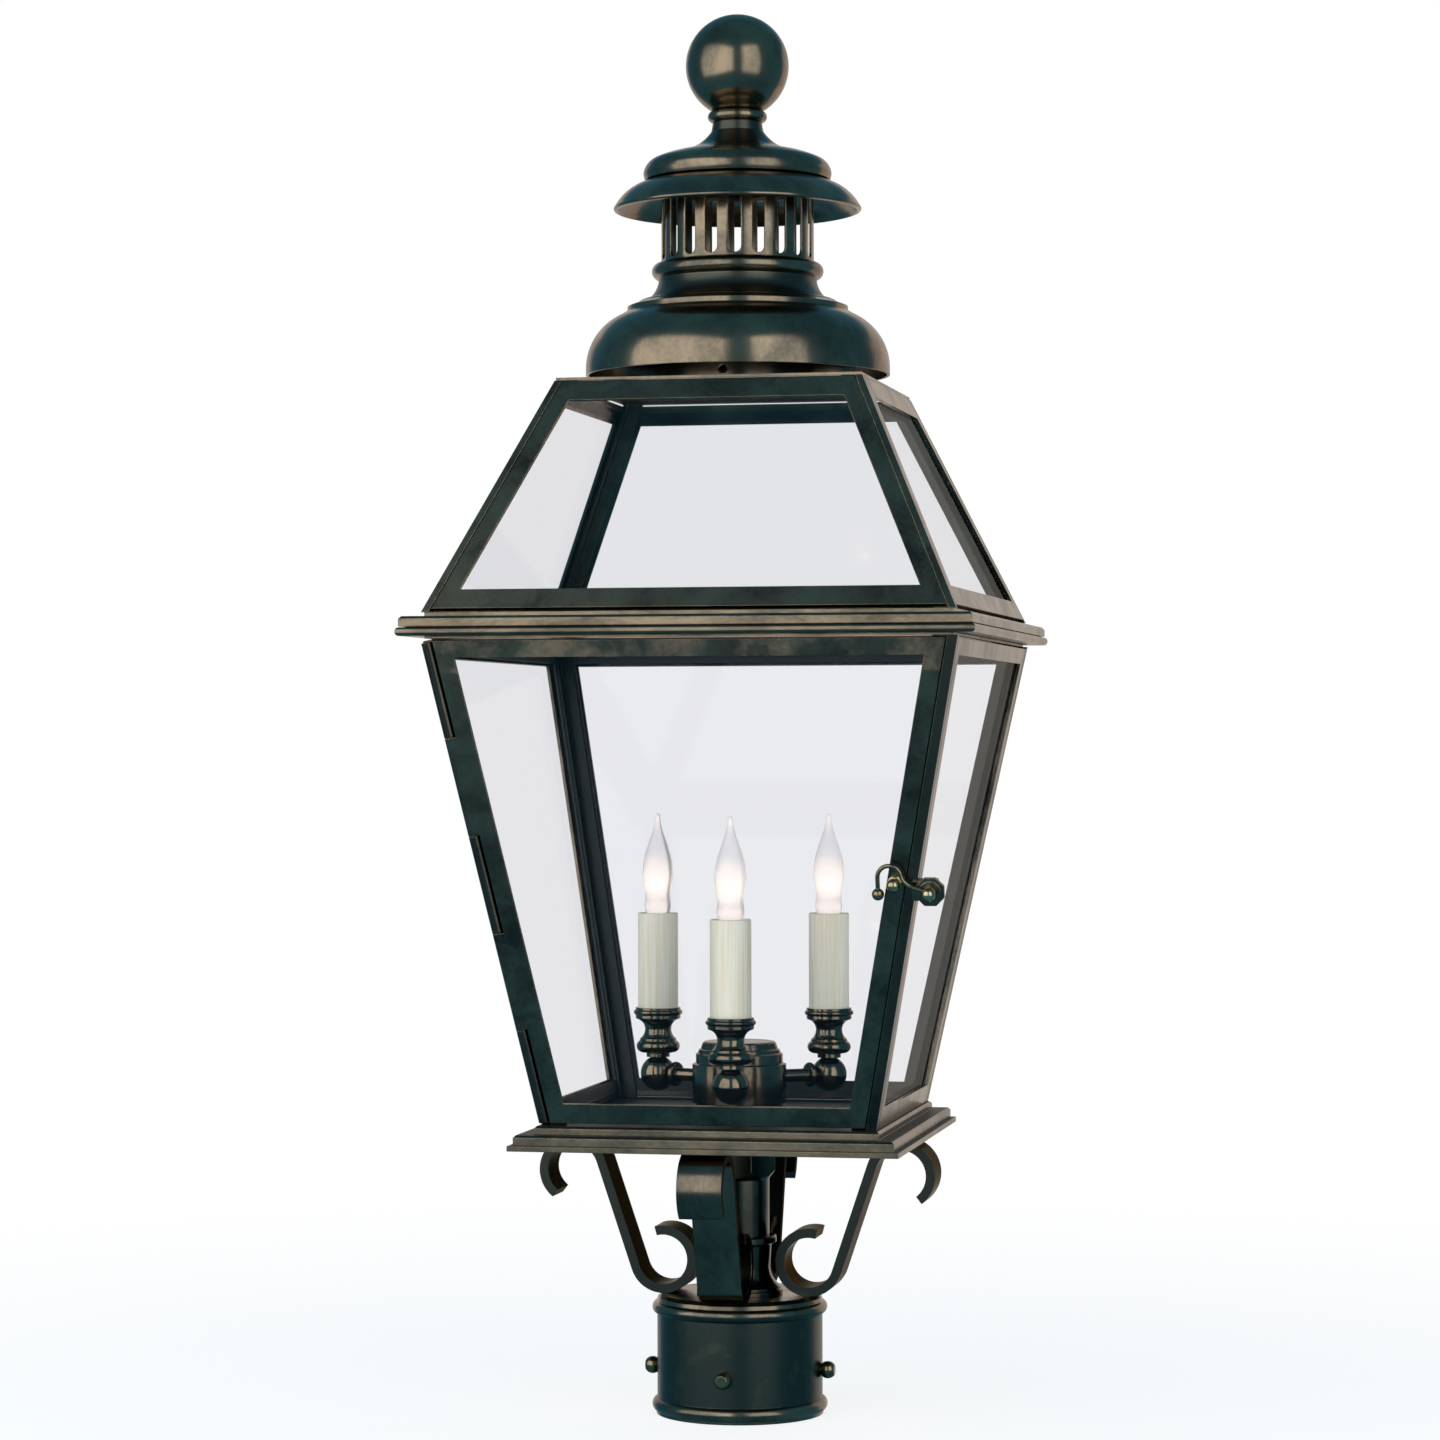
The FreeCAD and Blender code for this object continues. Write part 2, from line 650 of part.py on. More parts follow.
def glass_bead(name, face, low, high, insets, widths, depth):
    """The ring that holds a pane in its frame from inside."""
    upright, bottom, top = widths
    left, right = insets
    wall = frame_wall + 0.1
    back = frame_face + pane
    body = new_body(name)
    sketch = new_sketch(body, "XY_Plane", -back)
    draw(sketch, face.trapezoid(low + wall, high - wall, left + wall, right + wall))
    draw(sketch, face.trapezoid(low + bottom - 1, high - top + 1, left + upright - 1, right + upright - 1))
    feature(body, "Pad", sketch, depth - back, reverse=True)
    return body


def knuckle_place():
    """A frame whose z runs up the hinge line, from its foot."""
    flare = cabin_high_half.value - cabin_low_half.value
    line = Vector(-1, -1, (cabin_top.value - cabin_foot.value) / flare)
    foot = knuckle.value - cabin_low_half.value
    return Placement(Vector(foot, foot, cabin_foot.value), Rotation(Vector(0, 0, 1), line.normalize()))


def hinge_length():
    run, rise = cabin_high_half - cabin_low_half, cabin_top - cabin_foot
    text = f"sqrt(2 * ({run.text})^2 + ({rise.text})^2)"
    return Size(math.sqrt(2 * run.value ** 2 + rise.value ** 2), text)


def knuckles(first, web):
    """Every second knuckle of the hinge, each with its web, bored for the pin."""
    step = hinge_length() / knuckle_count
    place = knuckle_place()
    solids = []
    for number in range(first, knuckle_count, 2):
        low, high = step * number + knuckle_gap / 2, step * (number + 1) - knuckle_gap / 2
        if number == 0:
            low = size_of(2.2)
        if number == knuckle_count - 1:
            high = hinge_length() - 2.2
        solids.append(axle(knuckle, low, high, place))
        solids.append(web(low, high, place))
    return solids


def post_web(low, high, place):
    """Joins a fixed knuckle to the post behind it."""
    turn = place.multiply(Placement(Vector(), Rotation(Vector(0, 0, 1), 45)))
    return block((1.6, -0.7, low), (2.3, 1.4, high - low), turn)


def door_leaf(low, high, place):
    """Joins a moving knuckle to the door's upright."""
    return block((0.5, -2.7, low), (4.6, 1.5, high - low), place)


def make_posts():
    """Four corner posts; the front left one carries the fixed hinge knuckles."""
    for quarter, corner in enumerate(CORNERS):
        if quarter:
            bar = corner_bar("Corner_post", cabin, post_leg, post_leg, post_reach)
            keep(f"corner_post_{corner}", bar, quarter_turn(quarter, bar.Placement))
            continue
        bar = corner_bar("Hinge_post", cabin, post_leg, post_leg, post_reach, bead=False)
        bore = axle(hinge_pin_radius + 0.03, 0, hinge_length(), knuckle_place())
        keep(f"corner_post_{corner}", cut(fuse([bar] + knuckles(0, post_web)), bore))
    keep("hinge_pin", axle(hinge_pin_radius, 2.2, hinge_length() - 2.2, knuckle_place()))


def make_cabin_glazing():
    """The door in front and the three fixed frames, each with its pane and bead."""
    low, door_low = cabin.up_to(cabin_foot) + 0.1, cabin.up_to(door_lift)
    high = cabin.up_to(cabin_top - 1.3)
    inset = post_leg + post_gap
    widths = (stile, bottom_rail, top_rail)
    door_insets = (knuckle * 2 + post_gap, inset)
    frame = glazing_frame("Door", cabin, door_low, high, door_insets, widths, door_depth)
    frame.Placement = cabin.placement(0)
    bore = axle(hinge_pin_radius + 0.08, 0, hinge_length(), knuckle_place())
    keep("door_frame", cut(fuse([frame] + knuckles(1, door_leaf)), bore))
    keep("door_glass", glass_pane("Door_pane", cabin, door_low, high, door_insets), cabin.placement(0))
    keep("door_glass_bead", glass_bead("Door_bead", cabin, door_low, high, door_insets, widths, door_depth),
         cabin.placement(0))
    beads = []
    for quarter in range(1, 4):
        place, side = cabin.placement(quarter), SIDES[quarter]
        right_inset = door_insets[0] if side == "left" else inset
        made = (cabin, low, high, (inset, right_inset))
        keep(f"cabin_frame_{side}", glazing_frame("Cabin_frame", *made, widths, frame_depth), place)
        keep(f"cabin_glass_{side}", glass_pane("Cabin_pane", *made), place)
        beads.append(glass_bead("Cabin_bead", *made, widths, frame_depth))
        beads[-1].Placement = place
    keep_group("cabin_glass_beads", beads)


make_posts()
make_cabin_glazing()


# ---------------------------------------------------------------- latch

def on_face(side, height):
    """A frame on the door's outer plane whose z points away from it."""
    spot = Vector(side.value, cabin.up_to(height).value, 0)
    return cabin.placement(0).multiply(Placement(spot, Rotation()))


def make_keeper():
    """A ball-headed stud on the door, square to its face, that the hook drops over."""
    body = turned_body("Keeper", [
        (0, 0), (3.9, 0), (3.9, 0.7), (3.1, 1.3), (1.7, 1.6), (1.7, latch_proud - 3.17),
        (0.4, latch_proud + keeper_ball, keeper_ball, 1), (0, latch_proud + keeper_ball)])
    keep("door_keeper", body, on_face(keeper_side, keeper_height))


def make_latch():
    """A plate on an arm from the corner post, a pivot screw and a wire hook with a ball end."""
    disc_foot = latch_proud - hook_wire - 2.9
    disc_thick = 2.6
    arm_half = 5.2
    arm_foot = disc_foot - 7
    body = new_body("Latch_arm")
    sketch = new_sketch(body, "XY_Plane", disc_foot)
    turns = [math.radians(22.5 + 45 * corner) for corner in range(8)]
    draw(sketch, [(latch_disc * math.cos(turn), latch_disc * math.sin(turn)) for turn in turns])
    feature(body, "Pad", sketch, disc_thick)
    sketch = new_sketch(body, "XY_Plane", disc_foot + disc_thick)
    draw_circle(sketch, 0, 0, 5.6)
    feature(body, "Pad", sketch, 0.3)
    sketch = new_sketch(body, "XY_Plane", arm_foot)
    root = cabin.edge(cabin.up_to(latch_height)) - latch_side - 1.5
    draw(sketch, [(root, -arm_half), (3.4, -arm_half), (3.4, arm_half), (root, arm_half)])
    feature(body, "Pad", sketch, disc_foot - arm_foot)
    sketch = new_sketch(body, "XY_Plane", disc_foot + disc_thick + 0.3)
    draw_circle(sketch, 0, 0, pivot_radius)
    feature(body, "Pocket", sketch, 5)
    pivot = on_face(latch_side, latch_height)
    body.Placement = pivot
    keep("latch_bracket", cut(body, parts["corner_post_front_right"]))

    washer = latch_proud + hook_wire + 0.35
    keep("latch_pivot_screw", turned_body("Pivot_screw", [
        (0, disc_foot - 1), (pivot_radius, disc_foot - 1), (pivot_radius, washer), (2.4, washer),
        (0.4, washer + 6.26, 3.6, 1), (0, washer + 6.26)]), pivot)

    reach, bend, crook = 9.4, 8.6, 6.086
    body = new_body("Latch_hook")
    path = new_sketch(body, "XY_Plane")
    line = [(2, 0), (reach, 0), (16.896, 4.384, bend, 1), (28.008, -0.42, crook, -1), (26.07, -6.604)]
    draw(path, line, closed=False)
    wire = new_sketch(body, "YZ_Plane", 2)
    draw_circle(wire, 0, 0, hook_wire)
    sweep = body.newObject("PartDesign::AdditivePipe", "Hook_wire")
    sweep.Profile = wire
    sweep.Spine = path
    body.Tip = sweep
    eye_half = hook_wire * 0.8
    eye = new_sketch(body, "XY_Plane", -eye_half)
    draw_circle(eye, 0, 0, 3.2)
    feature(body, "Pad", eye, eye_half * 2)
    bore = new_sketch(body, "XY_Plane", hook_wire + 1)
    draw_circle(bore, 0, 0, pivot_radius + 0.08)
    feature(body, "Pocket", bore, 8)
    tip = body.newObject("PartDesign::AdditiveSphere", "Hook_tip")
    tip.Radius = 3.2
    tip.AttachmentOffset = Placement(Vector(25.35, -8.9, 0), Rotation())
    tip.AttachmentSupport = (path.AttachmentSupport[0][0], "")
    tip.MapMode = "FlatFace"
    body.Tip = tip
    droop = Rotation(Vector(0, 0, 1), -17.4).multiply(Rotation(Vector(0, 1, 0), 180))
    hang = Placement(Vector(0, 0, latch_proud.value), droop)
    keep("latch_hook", body, pivot.multiply(hang))


make_keeper()
make_latch()


# ---------------------------------------------------------------- cornice and roof

def square_ring(body, half, low, high):
    sketch = new_sketch(body, "XY_Plane", low)
    draw(sketch, square(half))
    draw(sketch, square(cornice_open))
    feature(body, "Pad", sketch, high - low)


def make_cornice():
    """Two stacked square rings, parted by narrow steps that read as dark joints."""
    body = new_body("Cornice_band")
    top = cap_foot - 0.4
    square_ring(body, cornice_half, cornice_foot, top)
    dress_edges(body, "Fillet", [(cornice_foot, cornice_half), (top, cornice_half)], 2)
    square_ring(body, spigot_half, cabin_top, cornice_foot)
    square_ring(body, spigot_half + 8, top, cap_foot)
    keep("cornice_band", body)

    body = new_body("Cornice_cap")
    square_ring(body, cap_half, cap_foot, cap_top)
    dress_edges(body, "Chamfer", [(cap_top, cap_half)], 1.4)
    square_ring(body, spigot_half, cap_top, roof_foot)
    keep("cornice_cap", body)


def make_roof():
    """Four glazed slopes between hip bars, closed by a square plate with the chimney on it."""
    hips = []
    for quarter in range(4):
        bar = corner_bar("Roof_hip", roof, hip_leg, hip_back, hip_reach)
        bar.Placement = quarter_turn(quarter, bar.Placement)
        hips.append(bar)
    keep_group("roof_hips", hips)
    low, high = size_of(2.2), roof.slope - 0.4
    inset = hip_leg + hip_gap
    panes = []
    for quarter, side in enumerate(SIDES):
        made = (roof, low, high, (inset, inset))
        bars = (roof_stile, roof_bottom_rail, roof_top_rail)
        frame = glazing_frame("Roof_frame", *made, bars, roof_frame_depth)
        keep(f"roof_frame_{side}", frame, roof.placement(quarter))
        panes.append(glass_pane("Roof_pane", *made))
        panes[-1].Placement = roof.placement(quarter)
    keep_group("roof_glass", panes)

    body = new_body("Chimney")
    sketch = new_sketch(body, "XY_Plane", roof_top)
    draw(sketch, square(roof_high_half - 0.6))
    draw_circle(sketch, 0, 0, chimney_radius - sheet_wall)
    feature(body, "Pad", sketch, sheet_wall)
    sketch = new_sketch(body, "XY_Plane", roof_top)
    draw_circle(sketch, 0, 0, chimney_radius)
    draw_circle(sketch, 0, 0, chimney_radius - sheet_wall)
    feature(body, "Pad", sketch, crown_height - roof_top)
    sketch = new_sketch(body, "XZ_Plane")
    draw_circle(sketch, 0, roof_top + 8.5, 2.4)
    feature(body, "Pocket", sketch, chimney_radius + 5, reverse=True)
    keep("chimney_collar", body)


make_cornice()
make_roof()


# ---------------------------------------------------------------- dome, vent and finial

def make_dome():
    """A spun dome whose rim stands clear of the roof, so that air passes under it."""
    rim_top = dome_edge + 3.7
    shoulder = neck_foot - 1.8
    inner = chimney_radius - sheet_wall
    turned("dome", [
        (dome_radius - sheet_wall, dome_edge), (dome_radius, dome_edge), (dome_radius, rim_top),
        (64.5, shoulder, dome_curve, 1), (61.5, neck_foot), (inner, neck_foot), (inner, crown_height),
        (61, crown_height), (63.6, crown_height - 1.7),
        (dome_radius - sheet_wall, rim_top, dome_curve - sheet_wall, -1)])


def make_vent():
    """Flared neck, slotted sleeve, dished brim and ogee cap."""
    turned("vent_neck", [
        (vent_bore, neck_foot), (60.6, neck_foot), (60.6, neck_foot + 2.8), (55.5, neck_foot + 4.8),
        (49.4, neck_foot + 6.8, 8, 1), (43.3, neck_foot + 18, 16, -1), (43.6, sleeve_foot - 8.8),
        (43.6, sleeve_foot, 4.5, 1), (vent_bore, sleeve_foot)])
    brim_under = hat_foot - 1.4 - sheet_wall
    body = turned_body("Vent_sleeve", [
        (vent_radius - sheet_wall, sleeve_foot), (vent_radius, sleeve_foot),
        (vent_radius, brim_under), (vent_radius - sheet_wall, brim_under)])
    low, high = sleeve_foot + 1.7, brim_under - 6
    half = slot_width / 2
    bow = half * 1.04
    sketch = new_sketch(body, "XZ_Plane")
    draw(sketch, [(half, high - half), (-half, high - half, bow, 1), (-half, low + half),
                  (half, low + half, bow, 1)])
    slot = feature(body, "Pocket", sketch, vent_radius + 5, reverse=True)
    pattern = body.newObject("PartDesign::PolarPattern", "Vent_slots")
    pattern.Originals = [slot]
    pattern.Axis = ([part for part in body.Origin.OriginFeatures if part.Role == "Z_Axis"][0], [""])
    pattern.Angle = 360
    pattern.Occurrences = int(vent_slots.value)
    bind(pattern, "Occurrences", vent_slots)
    body.Tip = pattern
    keep("vent_sleeve", body)

    deck, edge = hat_foot - 1.4, hat_foot - 17
    turned("vent_brim", [
        (bolt_radius, deck - sheet_wall), (46, deck - sheet_wall), (51.2, deck - 3.2, 14, -1),
        (64.4, edge + 2.6, 27, -1), (65.9, edge), (brim_radius, edge + 0.4),
        (brim_radius, edge + 2.6, 1.4, 1),
        (52.2, deck - 0.2, 27, 1), (49, hat_foot), (bolt_radius, hat_foot)])
    lid = sheet_wall
    turned("vent_cap", [
        (49.4, hat_foot), (50.8, hat_foot), (hat_radius, hat_foot + 3.8, 12, 1),
        (46.4, hat_foot + 11.5, 9.5, 1), (31.3, hat_foot + 16, 60, 1), (14.3, hat_foot + 27, 26, -1),
        (13.4, finial_foot), (bolt_radius, finial_foot), (bolt_radius, finial_foot - lid),
        (11.8, finial_foot - lid), (12.6, hat_foot + 26.6), (30.6, hat_foot + 14.4, 27.6, 1),
        (45.4, hat_foot + 10.2, 58.4, -1), (hat_radius - lid, hat_foot + 3.8, 7.9, -1)])


def make_finial():
    """A beaded collar and a hollow spun ball on a bolt whose head sits under the brim."""
    turned("finial_collar", [
        (bolt_radius, finial_foot), (14.2, finial_foot), (14.2, ball_foot, 3.2, 1), (bolt_radius, ball_foot)])
    wall = 1.5
    lift = ball_middle - ball_foot
    inner = ball_radius - wall
    floor = ball_foot + 2
    boss_top = ball_foot + 13.5
    rise = ball_middle - floor
    seat = Size(math.sqrt(ball_radius.value ** 2 - lift.value ** 2),
                f"sqrt({ball_radius.text}^2 - ({lift.text})^2)")
    ledge = Size(math.sqrt(inner.value ** 2 - rise.value ** 2),
                 f"sqrt(({inner.text})^2 - ({rise.text})^2)")
    turned("finial_ball", [
        (bolt_radius, ball_foot), (seat, ball_foot), (0, ball_middle + ball_radius, ball_radius, 1),
        (0, ball_middle + inner), (ledge, floor, inner, -1), (7, floor), (7, boss_top),
        (bolt_radius, boss_top)])
    body = new_body("Finial_bolt")
    head_top = hat_foot - 1.4 - sheet_wall
    sketch = new_sketch(body, "XY_Plane", head_top - 4)
    draw_hexagon(sketch, size_of(5))
    feature(body, "Pad", sketch, 4)
    sketch = new_sketch(body, "XY_Plane", head_top)
    draw_circle(sketch, 0, 0, bolt_radius)
    feature(body, "Pad", sketch, boss_top - 1 - head_top)
    keep("finial_bolt", body)


make_dome()
make_vent()
make_finial()


# ---------------------------------------------------------------- lamps

def bearing(number):
    return Rotation(Vector(0, 0, 1), lamp_first.value + 120 * number)


def lamp_place(number):
    """A frame on a lamp's own axis, at the height of the foot of the object."""
    spot = Placement(Vector(), bearing(number)).multVec(Vector(lamp_out.value, 0, 0))
    return Placement(spot, bearing(number))


def make_hub():
    """A stepped, hollow canopy over the wiring, with a hole for each arm."""
    wall = 1.5
    body = turned_body("Lamp_hub", [
        (22.6, cabin_foot), (24, cabin_foot), (24, 169.7), (hub_radius, 169.7), (hub_radius, 190.6),
        (23.9, 191.4), (23.9, 196.2), (22.8, 196.9), (22.1, 198.7), (21.2, 199.1), (20.2, 202.2),
        (19.2, hub_top), (0, hub_top), (0, hub_top - wall), (17.8, hub_top - wall), (20, 196.4),
        (22.3, 195.6), (22.6, 190)])
    for number in range(3):
        sketch = new_sketch(body, "XZ_Plane")
        turn = Rotation(Vector(0, 1, 0), lamp_first.value + 120 * number + 90)
        sketch.AttachmentOffset = Placement(Vector(), turn)
        draw_circle(sketch, 0, lamp_middle, arm_radius)
        feature(body, "Pocket", sketch, hub_radius + 5, reverse=True)
    keep("lamp_hub", body)


def make_lamps():
    """Each lamp is an arm, a ball elbow, a cup, a candle sleeve and a socket for the bulb."""
    arms, elbows, cups, sleeves, sockets = [], [], [], [], []
    inner_end, outer_end = hub_radius - 6, lamp_out - elbow_radius + 3.5
    for number in range(3):
        collar = outer_end - 3.5
        arm = turned_body("Lamp_arm", [
            (2.4, inner_end), (arm_radius, inner_end), (arm_radius, collar - 4.2), (6, collar - 3.8),
            (6, collar - 0.6, 1.9, 1), (arm_radius, collar - 0.3), (arm_radius, outer_end), (2.4, outer_end)])
        along = Rotation(Vector(0, 1, 0), 90)
        level = Vector(0, 0, lamp_middle.value)
        arm.Placement = Placement(Vector(), bearing(number)).multiply(Placement(level, along))
        arms.append(arm)

        ball_chord = elbow_top - lamp_middle
        flat = Size(math.sqrt(elbow_radius.value ** 2 - ball_chord.value ** 2),
                    f"sqrt({elbow_radius.text}^2 - ({ball_chord.text})^2)")
        elbow = turned_body("Ball_elbow", [
            (0, lamp_middle - elbow_radius), (flat, elbow_top, elbow_radius, 1), (2.4, elbow_top),
            (2.4, lamp_middle), (0, lamp_middle)])
        sketch = new_sketch(elbow, "YZ_Plane", outer_end - lamp_out)
        draw_circle(sketch, 0, lamp_middle, arm_radius)
        feature(elbow, "Pocket", sketch, 8)
        elbow.Placement = lamp_place(number)
        elbows.append(elbow)

        cup = turned_body("Candle_cup", [
            (2.4, elbow_top), (6.5, elbow_top), (6.5, elbow_top + 2.1), (9.4, elbow_top + 2.6),
            (10.6, elbow_top + 8.7, 3.4, 1), (10.1, elbow_top + 9.1), (10.1, elbow_top + 10.1),
            (7.3, elbow_top + 15.4, 6.4, -1), (11.9, cup_top - 6.3, 5.9, -1), (12.5, cup_top - 5.8),
            (12.5, cup_top - 4), (12.5, cup_top - 1.2, 1.45, 1), (12.5, cup_top),
            (sleeve_radius, cup_top), (sleeve_radius, cup_floor), (2.4, cup_floor)])
        cup.Placement = lamp_place(number)
        cups.append(cup)

        sleeve = turned_body("Candle_sleeve", [
            (9.9, cup_floor), (sleeve_radius, cup_floor), (sleeve_radius, sleeve_top - 0.6),
            (sleeve_radius - 0.5, sleeve_top), (9.9, sleeve_top)])
        sleeve.Placement = lamp_place(number)
        sleeves.append(sleeve)

        socket = turned_body("Lamp_socket", [
            (2.4, cup_floor), (5, cup_floor), (5, bulb_foot - 8), (9.6, bulb_foot - 6), (9.6, sleeve_top - 2),
            (bulb_base + 0.1, sleeve_top - 2), (bulb_base + 0.1, bulb_foot - 0.4), (2.4, bulb_foot - 0.4)])
        socket.Placement = lamp_place(number)
        sockets.append(socket)

        base = turned_body("Bulb_base", [
            (0, bulb_foot), (2.4, bulb_foot), (4.2, bulb_foot + 2.2), (bulb_base, bulb_foot + 3.4),
            (bulb_base, sleeve_top - 0.6), (0, sleeve_top - 0.6)])
        glass = turned_body("Bulb_glass", [
            (0, sleeve_top - 0.6), (bulb_base, sleeve_top - 0.6), (7.4, 275.8, 4, 1), (6.8, 282.7, 9, 1),
            (8.4, 295.5, 34, -1), (1.6, 323.4, 46, 1), (0.5, bulb_top, 3, 1), (0, bulb_top)])
        for piece in (base, glass):
            piece.Placement = lamp_place(number)
        keep_group(f"bulb_{number + 1}", [base, glass])
    keep_group("lamp_arms", arms)
    keep_group("ball_elbows", elbows)
    keep_group("candle_cups", cups)
    keep_group("candle_sleeves", sleeves)
    keep_group("lamp_sockets", sockets)


make_hub()
make_lamps()


# ---------------------------------------------------------------- check and write

doc.recompute()
for thing in doc.Objects:
    if "Invalid" in thing.State or "Error" in thing.State:
        raise RuntimeError(f"{thing.Name} ({thing.Label}) failed: {thing.State}")
for label, thing in parts.items():
    if thing.Shape.isNull() or not thing.Shape.isValid() or not thing.Shape.Solids:
        raise RuntimeError(f"{label} has no valid solid")

os.makedirs("parts", exist_ok=True)
for label, thing in parts.items():
    thing.Shape.exportStep(f"parts/{label}.step")
print(len(parts), "sub-parts written")
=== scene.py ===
import math
import bmesh
import bpy
from mathutils import Euler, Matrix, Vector


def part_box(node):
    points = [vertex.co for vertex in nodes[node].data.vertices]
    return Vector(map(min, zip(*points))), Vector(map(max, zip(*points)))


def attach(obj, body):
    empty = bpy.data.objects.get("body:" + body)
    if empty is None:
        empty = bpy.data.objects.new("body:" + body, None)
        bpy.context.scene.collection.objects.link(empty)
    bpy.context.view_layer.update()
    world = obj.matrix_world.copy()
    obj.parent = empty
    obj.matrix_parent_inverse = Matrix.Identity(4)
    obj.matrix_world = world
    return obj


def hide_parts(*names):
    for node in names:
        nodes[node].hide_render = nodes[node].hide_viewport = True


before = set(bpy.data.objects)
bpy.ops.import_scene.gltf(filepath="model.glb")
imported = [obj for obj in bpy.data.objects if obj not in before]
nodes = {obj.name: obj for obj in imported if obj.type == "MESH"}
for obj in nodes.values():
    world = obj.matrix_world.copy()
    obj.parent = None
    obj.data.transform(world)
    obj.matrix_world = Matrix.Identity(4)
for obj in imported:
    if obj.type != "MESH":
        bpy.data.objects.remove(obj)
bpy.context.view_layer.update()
scene = bpy.context.scene
MM = 0.001


# ------------------------------------------------------------ post fitter and stem
# The socket that slips over the post, with the turned spool, tube and faceted coupling above it.
# Cast and turned bronze, darkened in a chemical bath and waxed. A threaded tube clamps the stack.

def linear(hex_colour):
    """A linear colour from its sRGB hex value."""
    channels = [int(hex_colour[place:place + 2], 16) / 255 for place in (1, 3, 5)]
    curved = [c / 12.92 if c <= 0.04045 else ((c + 0.055) / 1.055) ** 2.4 for c in channels]
    return (*curved, 1.0)


def add(tree, kind, inputs=(), **settings):
    """Adds a node with its settings; an input is a plain value or another node's socket."""
    made = tree.nodes.new(kind)
    for name, value in settings.items():
        setattr(made, name, value)
    for key, value in dict(inputs).items():
        if isinstance(value, bpy.types.NodeSocket):
            tree.links.new(value, made.inputs[key])
        else:
            made.inputs[key].default_value = value
    return made


def new_material(name):
    """A material with nothing in its tree but the output."""
    made = bpy.data.materials.new(name)
    made.use_nodes = True
    made.node_tree.nodes.clear()
    return made, made.node_tree, add(made.node_tree, "ShaderNodeOutputMaterial")


def aged_bronze(name, bare, tarnish, worn, cloud_size, sheen, stretch=(1, 1, 1)):
    """Bronze blackened in a bath, then rubbed and waxed: a dark satin metal whose reflections
    are brown where it was rubbed and nearly gone where the oxide is thick. The edges are rubbed
    brightest. The clouds of oxide are cloud_size mm across, and sheen is the metal's roughness.
    The specks and the polishing grain are drawn coarser than the real ones, so that they show."""
    made, tree, output = new_material(name)
    place = add(tree, "ShaderNodeTexCoord").outputs["Object"]
    place = add(tree, "ShaderNodeMapping", {"Vector": place, "Scale": stretch}).outputs["Vector"]
    cloud = add(tree, "ShaderNodeTexNoise", {
        "Vector": place, "Scale": 1 / (cloud_size * MM), "Detail": 6.0, "Roughness": 0.6,
        "Distortion": 0.5}).outputs["Fac"]
    speck = add(tree, "ShaderNodeTexNoise", {
        "Vector": place, "Scale": 1 / (2.2 * MM), "Detail": 3.0, "Roughness": 0.65}).outputs["Fac"]
    spread = add(tree, "ShaderNodeMix", {
        0: 0.22, 2: cloud, 3: speck}, data_type="FLOAT").outputs[0]
    rubbed = add(tree, "ShaderNodeMapRange", {
        "Value": spread, "From Min": 0.36, "From Max": 0.6}).outputs["Result"]
    soft_edge = add(tree, "ShaderNodeBevel", {"Radius": 0.55 * MM}, samples=4).outputs["Normal"]
    face = add(tree, "ShaderNodeNewGeometry").outputs["Normal"]
    lean = add(tree, "ShaderNodeVectorMath", {0: soft_edge, 1: face}, operation="DOT_PRODUCT")
    edge = add(tree, "ShaderNodeMapRange", {
        "Value": lean.outputs["Value"], "From Min": 0.985, "From Max": 0.8}).outputs["Result"]
    edge = add(tree, "ShaderNodeMath", {0: edge, 1: speck}, operation="MULTIPLY").outputs[0]
    colour = add(tree, "ShaderNodeMix", {
        0: rubbed, 6: linear(tarnish), 7: linear(bare)}, data_type="RGBA").outputs[2]
    colour = add(tree, "ShaderNodeMix", {
        0: edge, 6: colour, 7: linear(worn)}, data_type="RGBA").outputs[2]
    gloss = add(tree, "ShaderNodeMapRange", {
        "Value": spread, "From Min": 0.3, "From Max": 0.7,
        "To Min": sheen + 0.07, "To Max": sheen - 0.03})
    grain = add(tree, "ShaderNodeTexNoise", {
        "Vector": place, "Scale": 1 / (1.6 * MM), "Detail": 2.0, "Roughness": 0.5}).outputs["Fac"]
    relief = add(tree, "ShaderNodeBump", {
        "Height": grain, "Strength": 0.12, "Distance": 0.03 * MM, "Normal": soft_edge})
    shader = add(tree, "ShaderNodeBsdfPrincipled", {
        "Base Color": colour, "Metallic": 1.0, "Roughness": gloss.outputs["Result"],
        "Normal": relief.outputs["Normal"]})
    tree.links.new(shader.outputs["BSDF"], output.inputs["Surface"])
    return made


def finish(made, *names):
    """Gives pieces of the frame their finish."""
    for name in names:
        nodes[name].data.materials.clear()
        nodes[name].data.materials.append(made)


def darken_for_oxide_and_shade(made, mask, dark="#343530", dull=0.42):
    """Darkens and dulls the metal where the mask is 1. It draws whole oxide where the cloth never
    reached, and painted shade on faces sheltered from the light.
    """
    tree = made.node_tree
    shader = tree.nodes["Principled BSDF"]
    for socket, kind, first, result, value in (("Base Color", "RGBA", 6, 2, linear(dark)),
                                               ("Roughness", "FLOAT", 2, 0, dull)):
        before = shader.inputs[socket].links[0].from_socket
        mixed = add(tree, "ShaderNodeMix", {
            0: mask, first: before, first + 1: value}, data_type=kind)
        tree.links.new(mixed.outputs[result], shader.inputs[socket])


def height_mask(made, low, high, fade=1.5):
    """1 between two heights in mm, fading out over that many mm beyond each."""
    tree = made.node_tree
    place = add(tree, "ShaderNodeTexCoord").outputs["Object"]
    height = add(tree, "ShaderNodeSeparateXYZ", {0: place}).outputs["Z"]
    off = add(tree, "ShaderNodeMath", {0: height, 1: (low + high) / 2 * MM}, operation="SUBTRACT")
    off = add(tree, "ShaderNodeMath", {0: off.outputs[0]}, operation="ABSOLUTE")
    half = (high - low) / 2
    return add(tree, "ShaderNodeMapRange", {
        "Value": off.outputs[0], "From Min": (half + fade) * MM,
        "From Max": half * MM}).outputs["Result"]
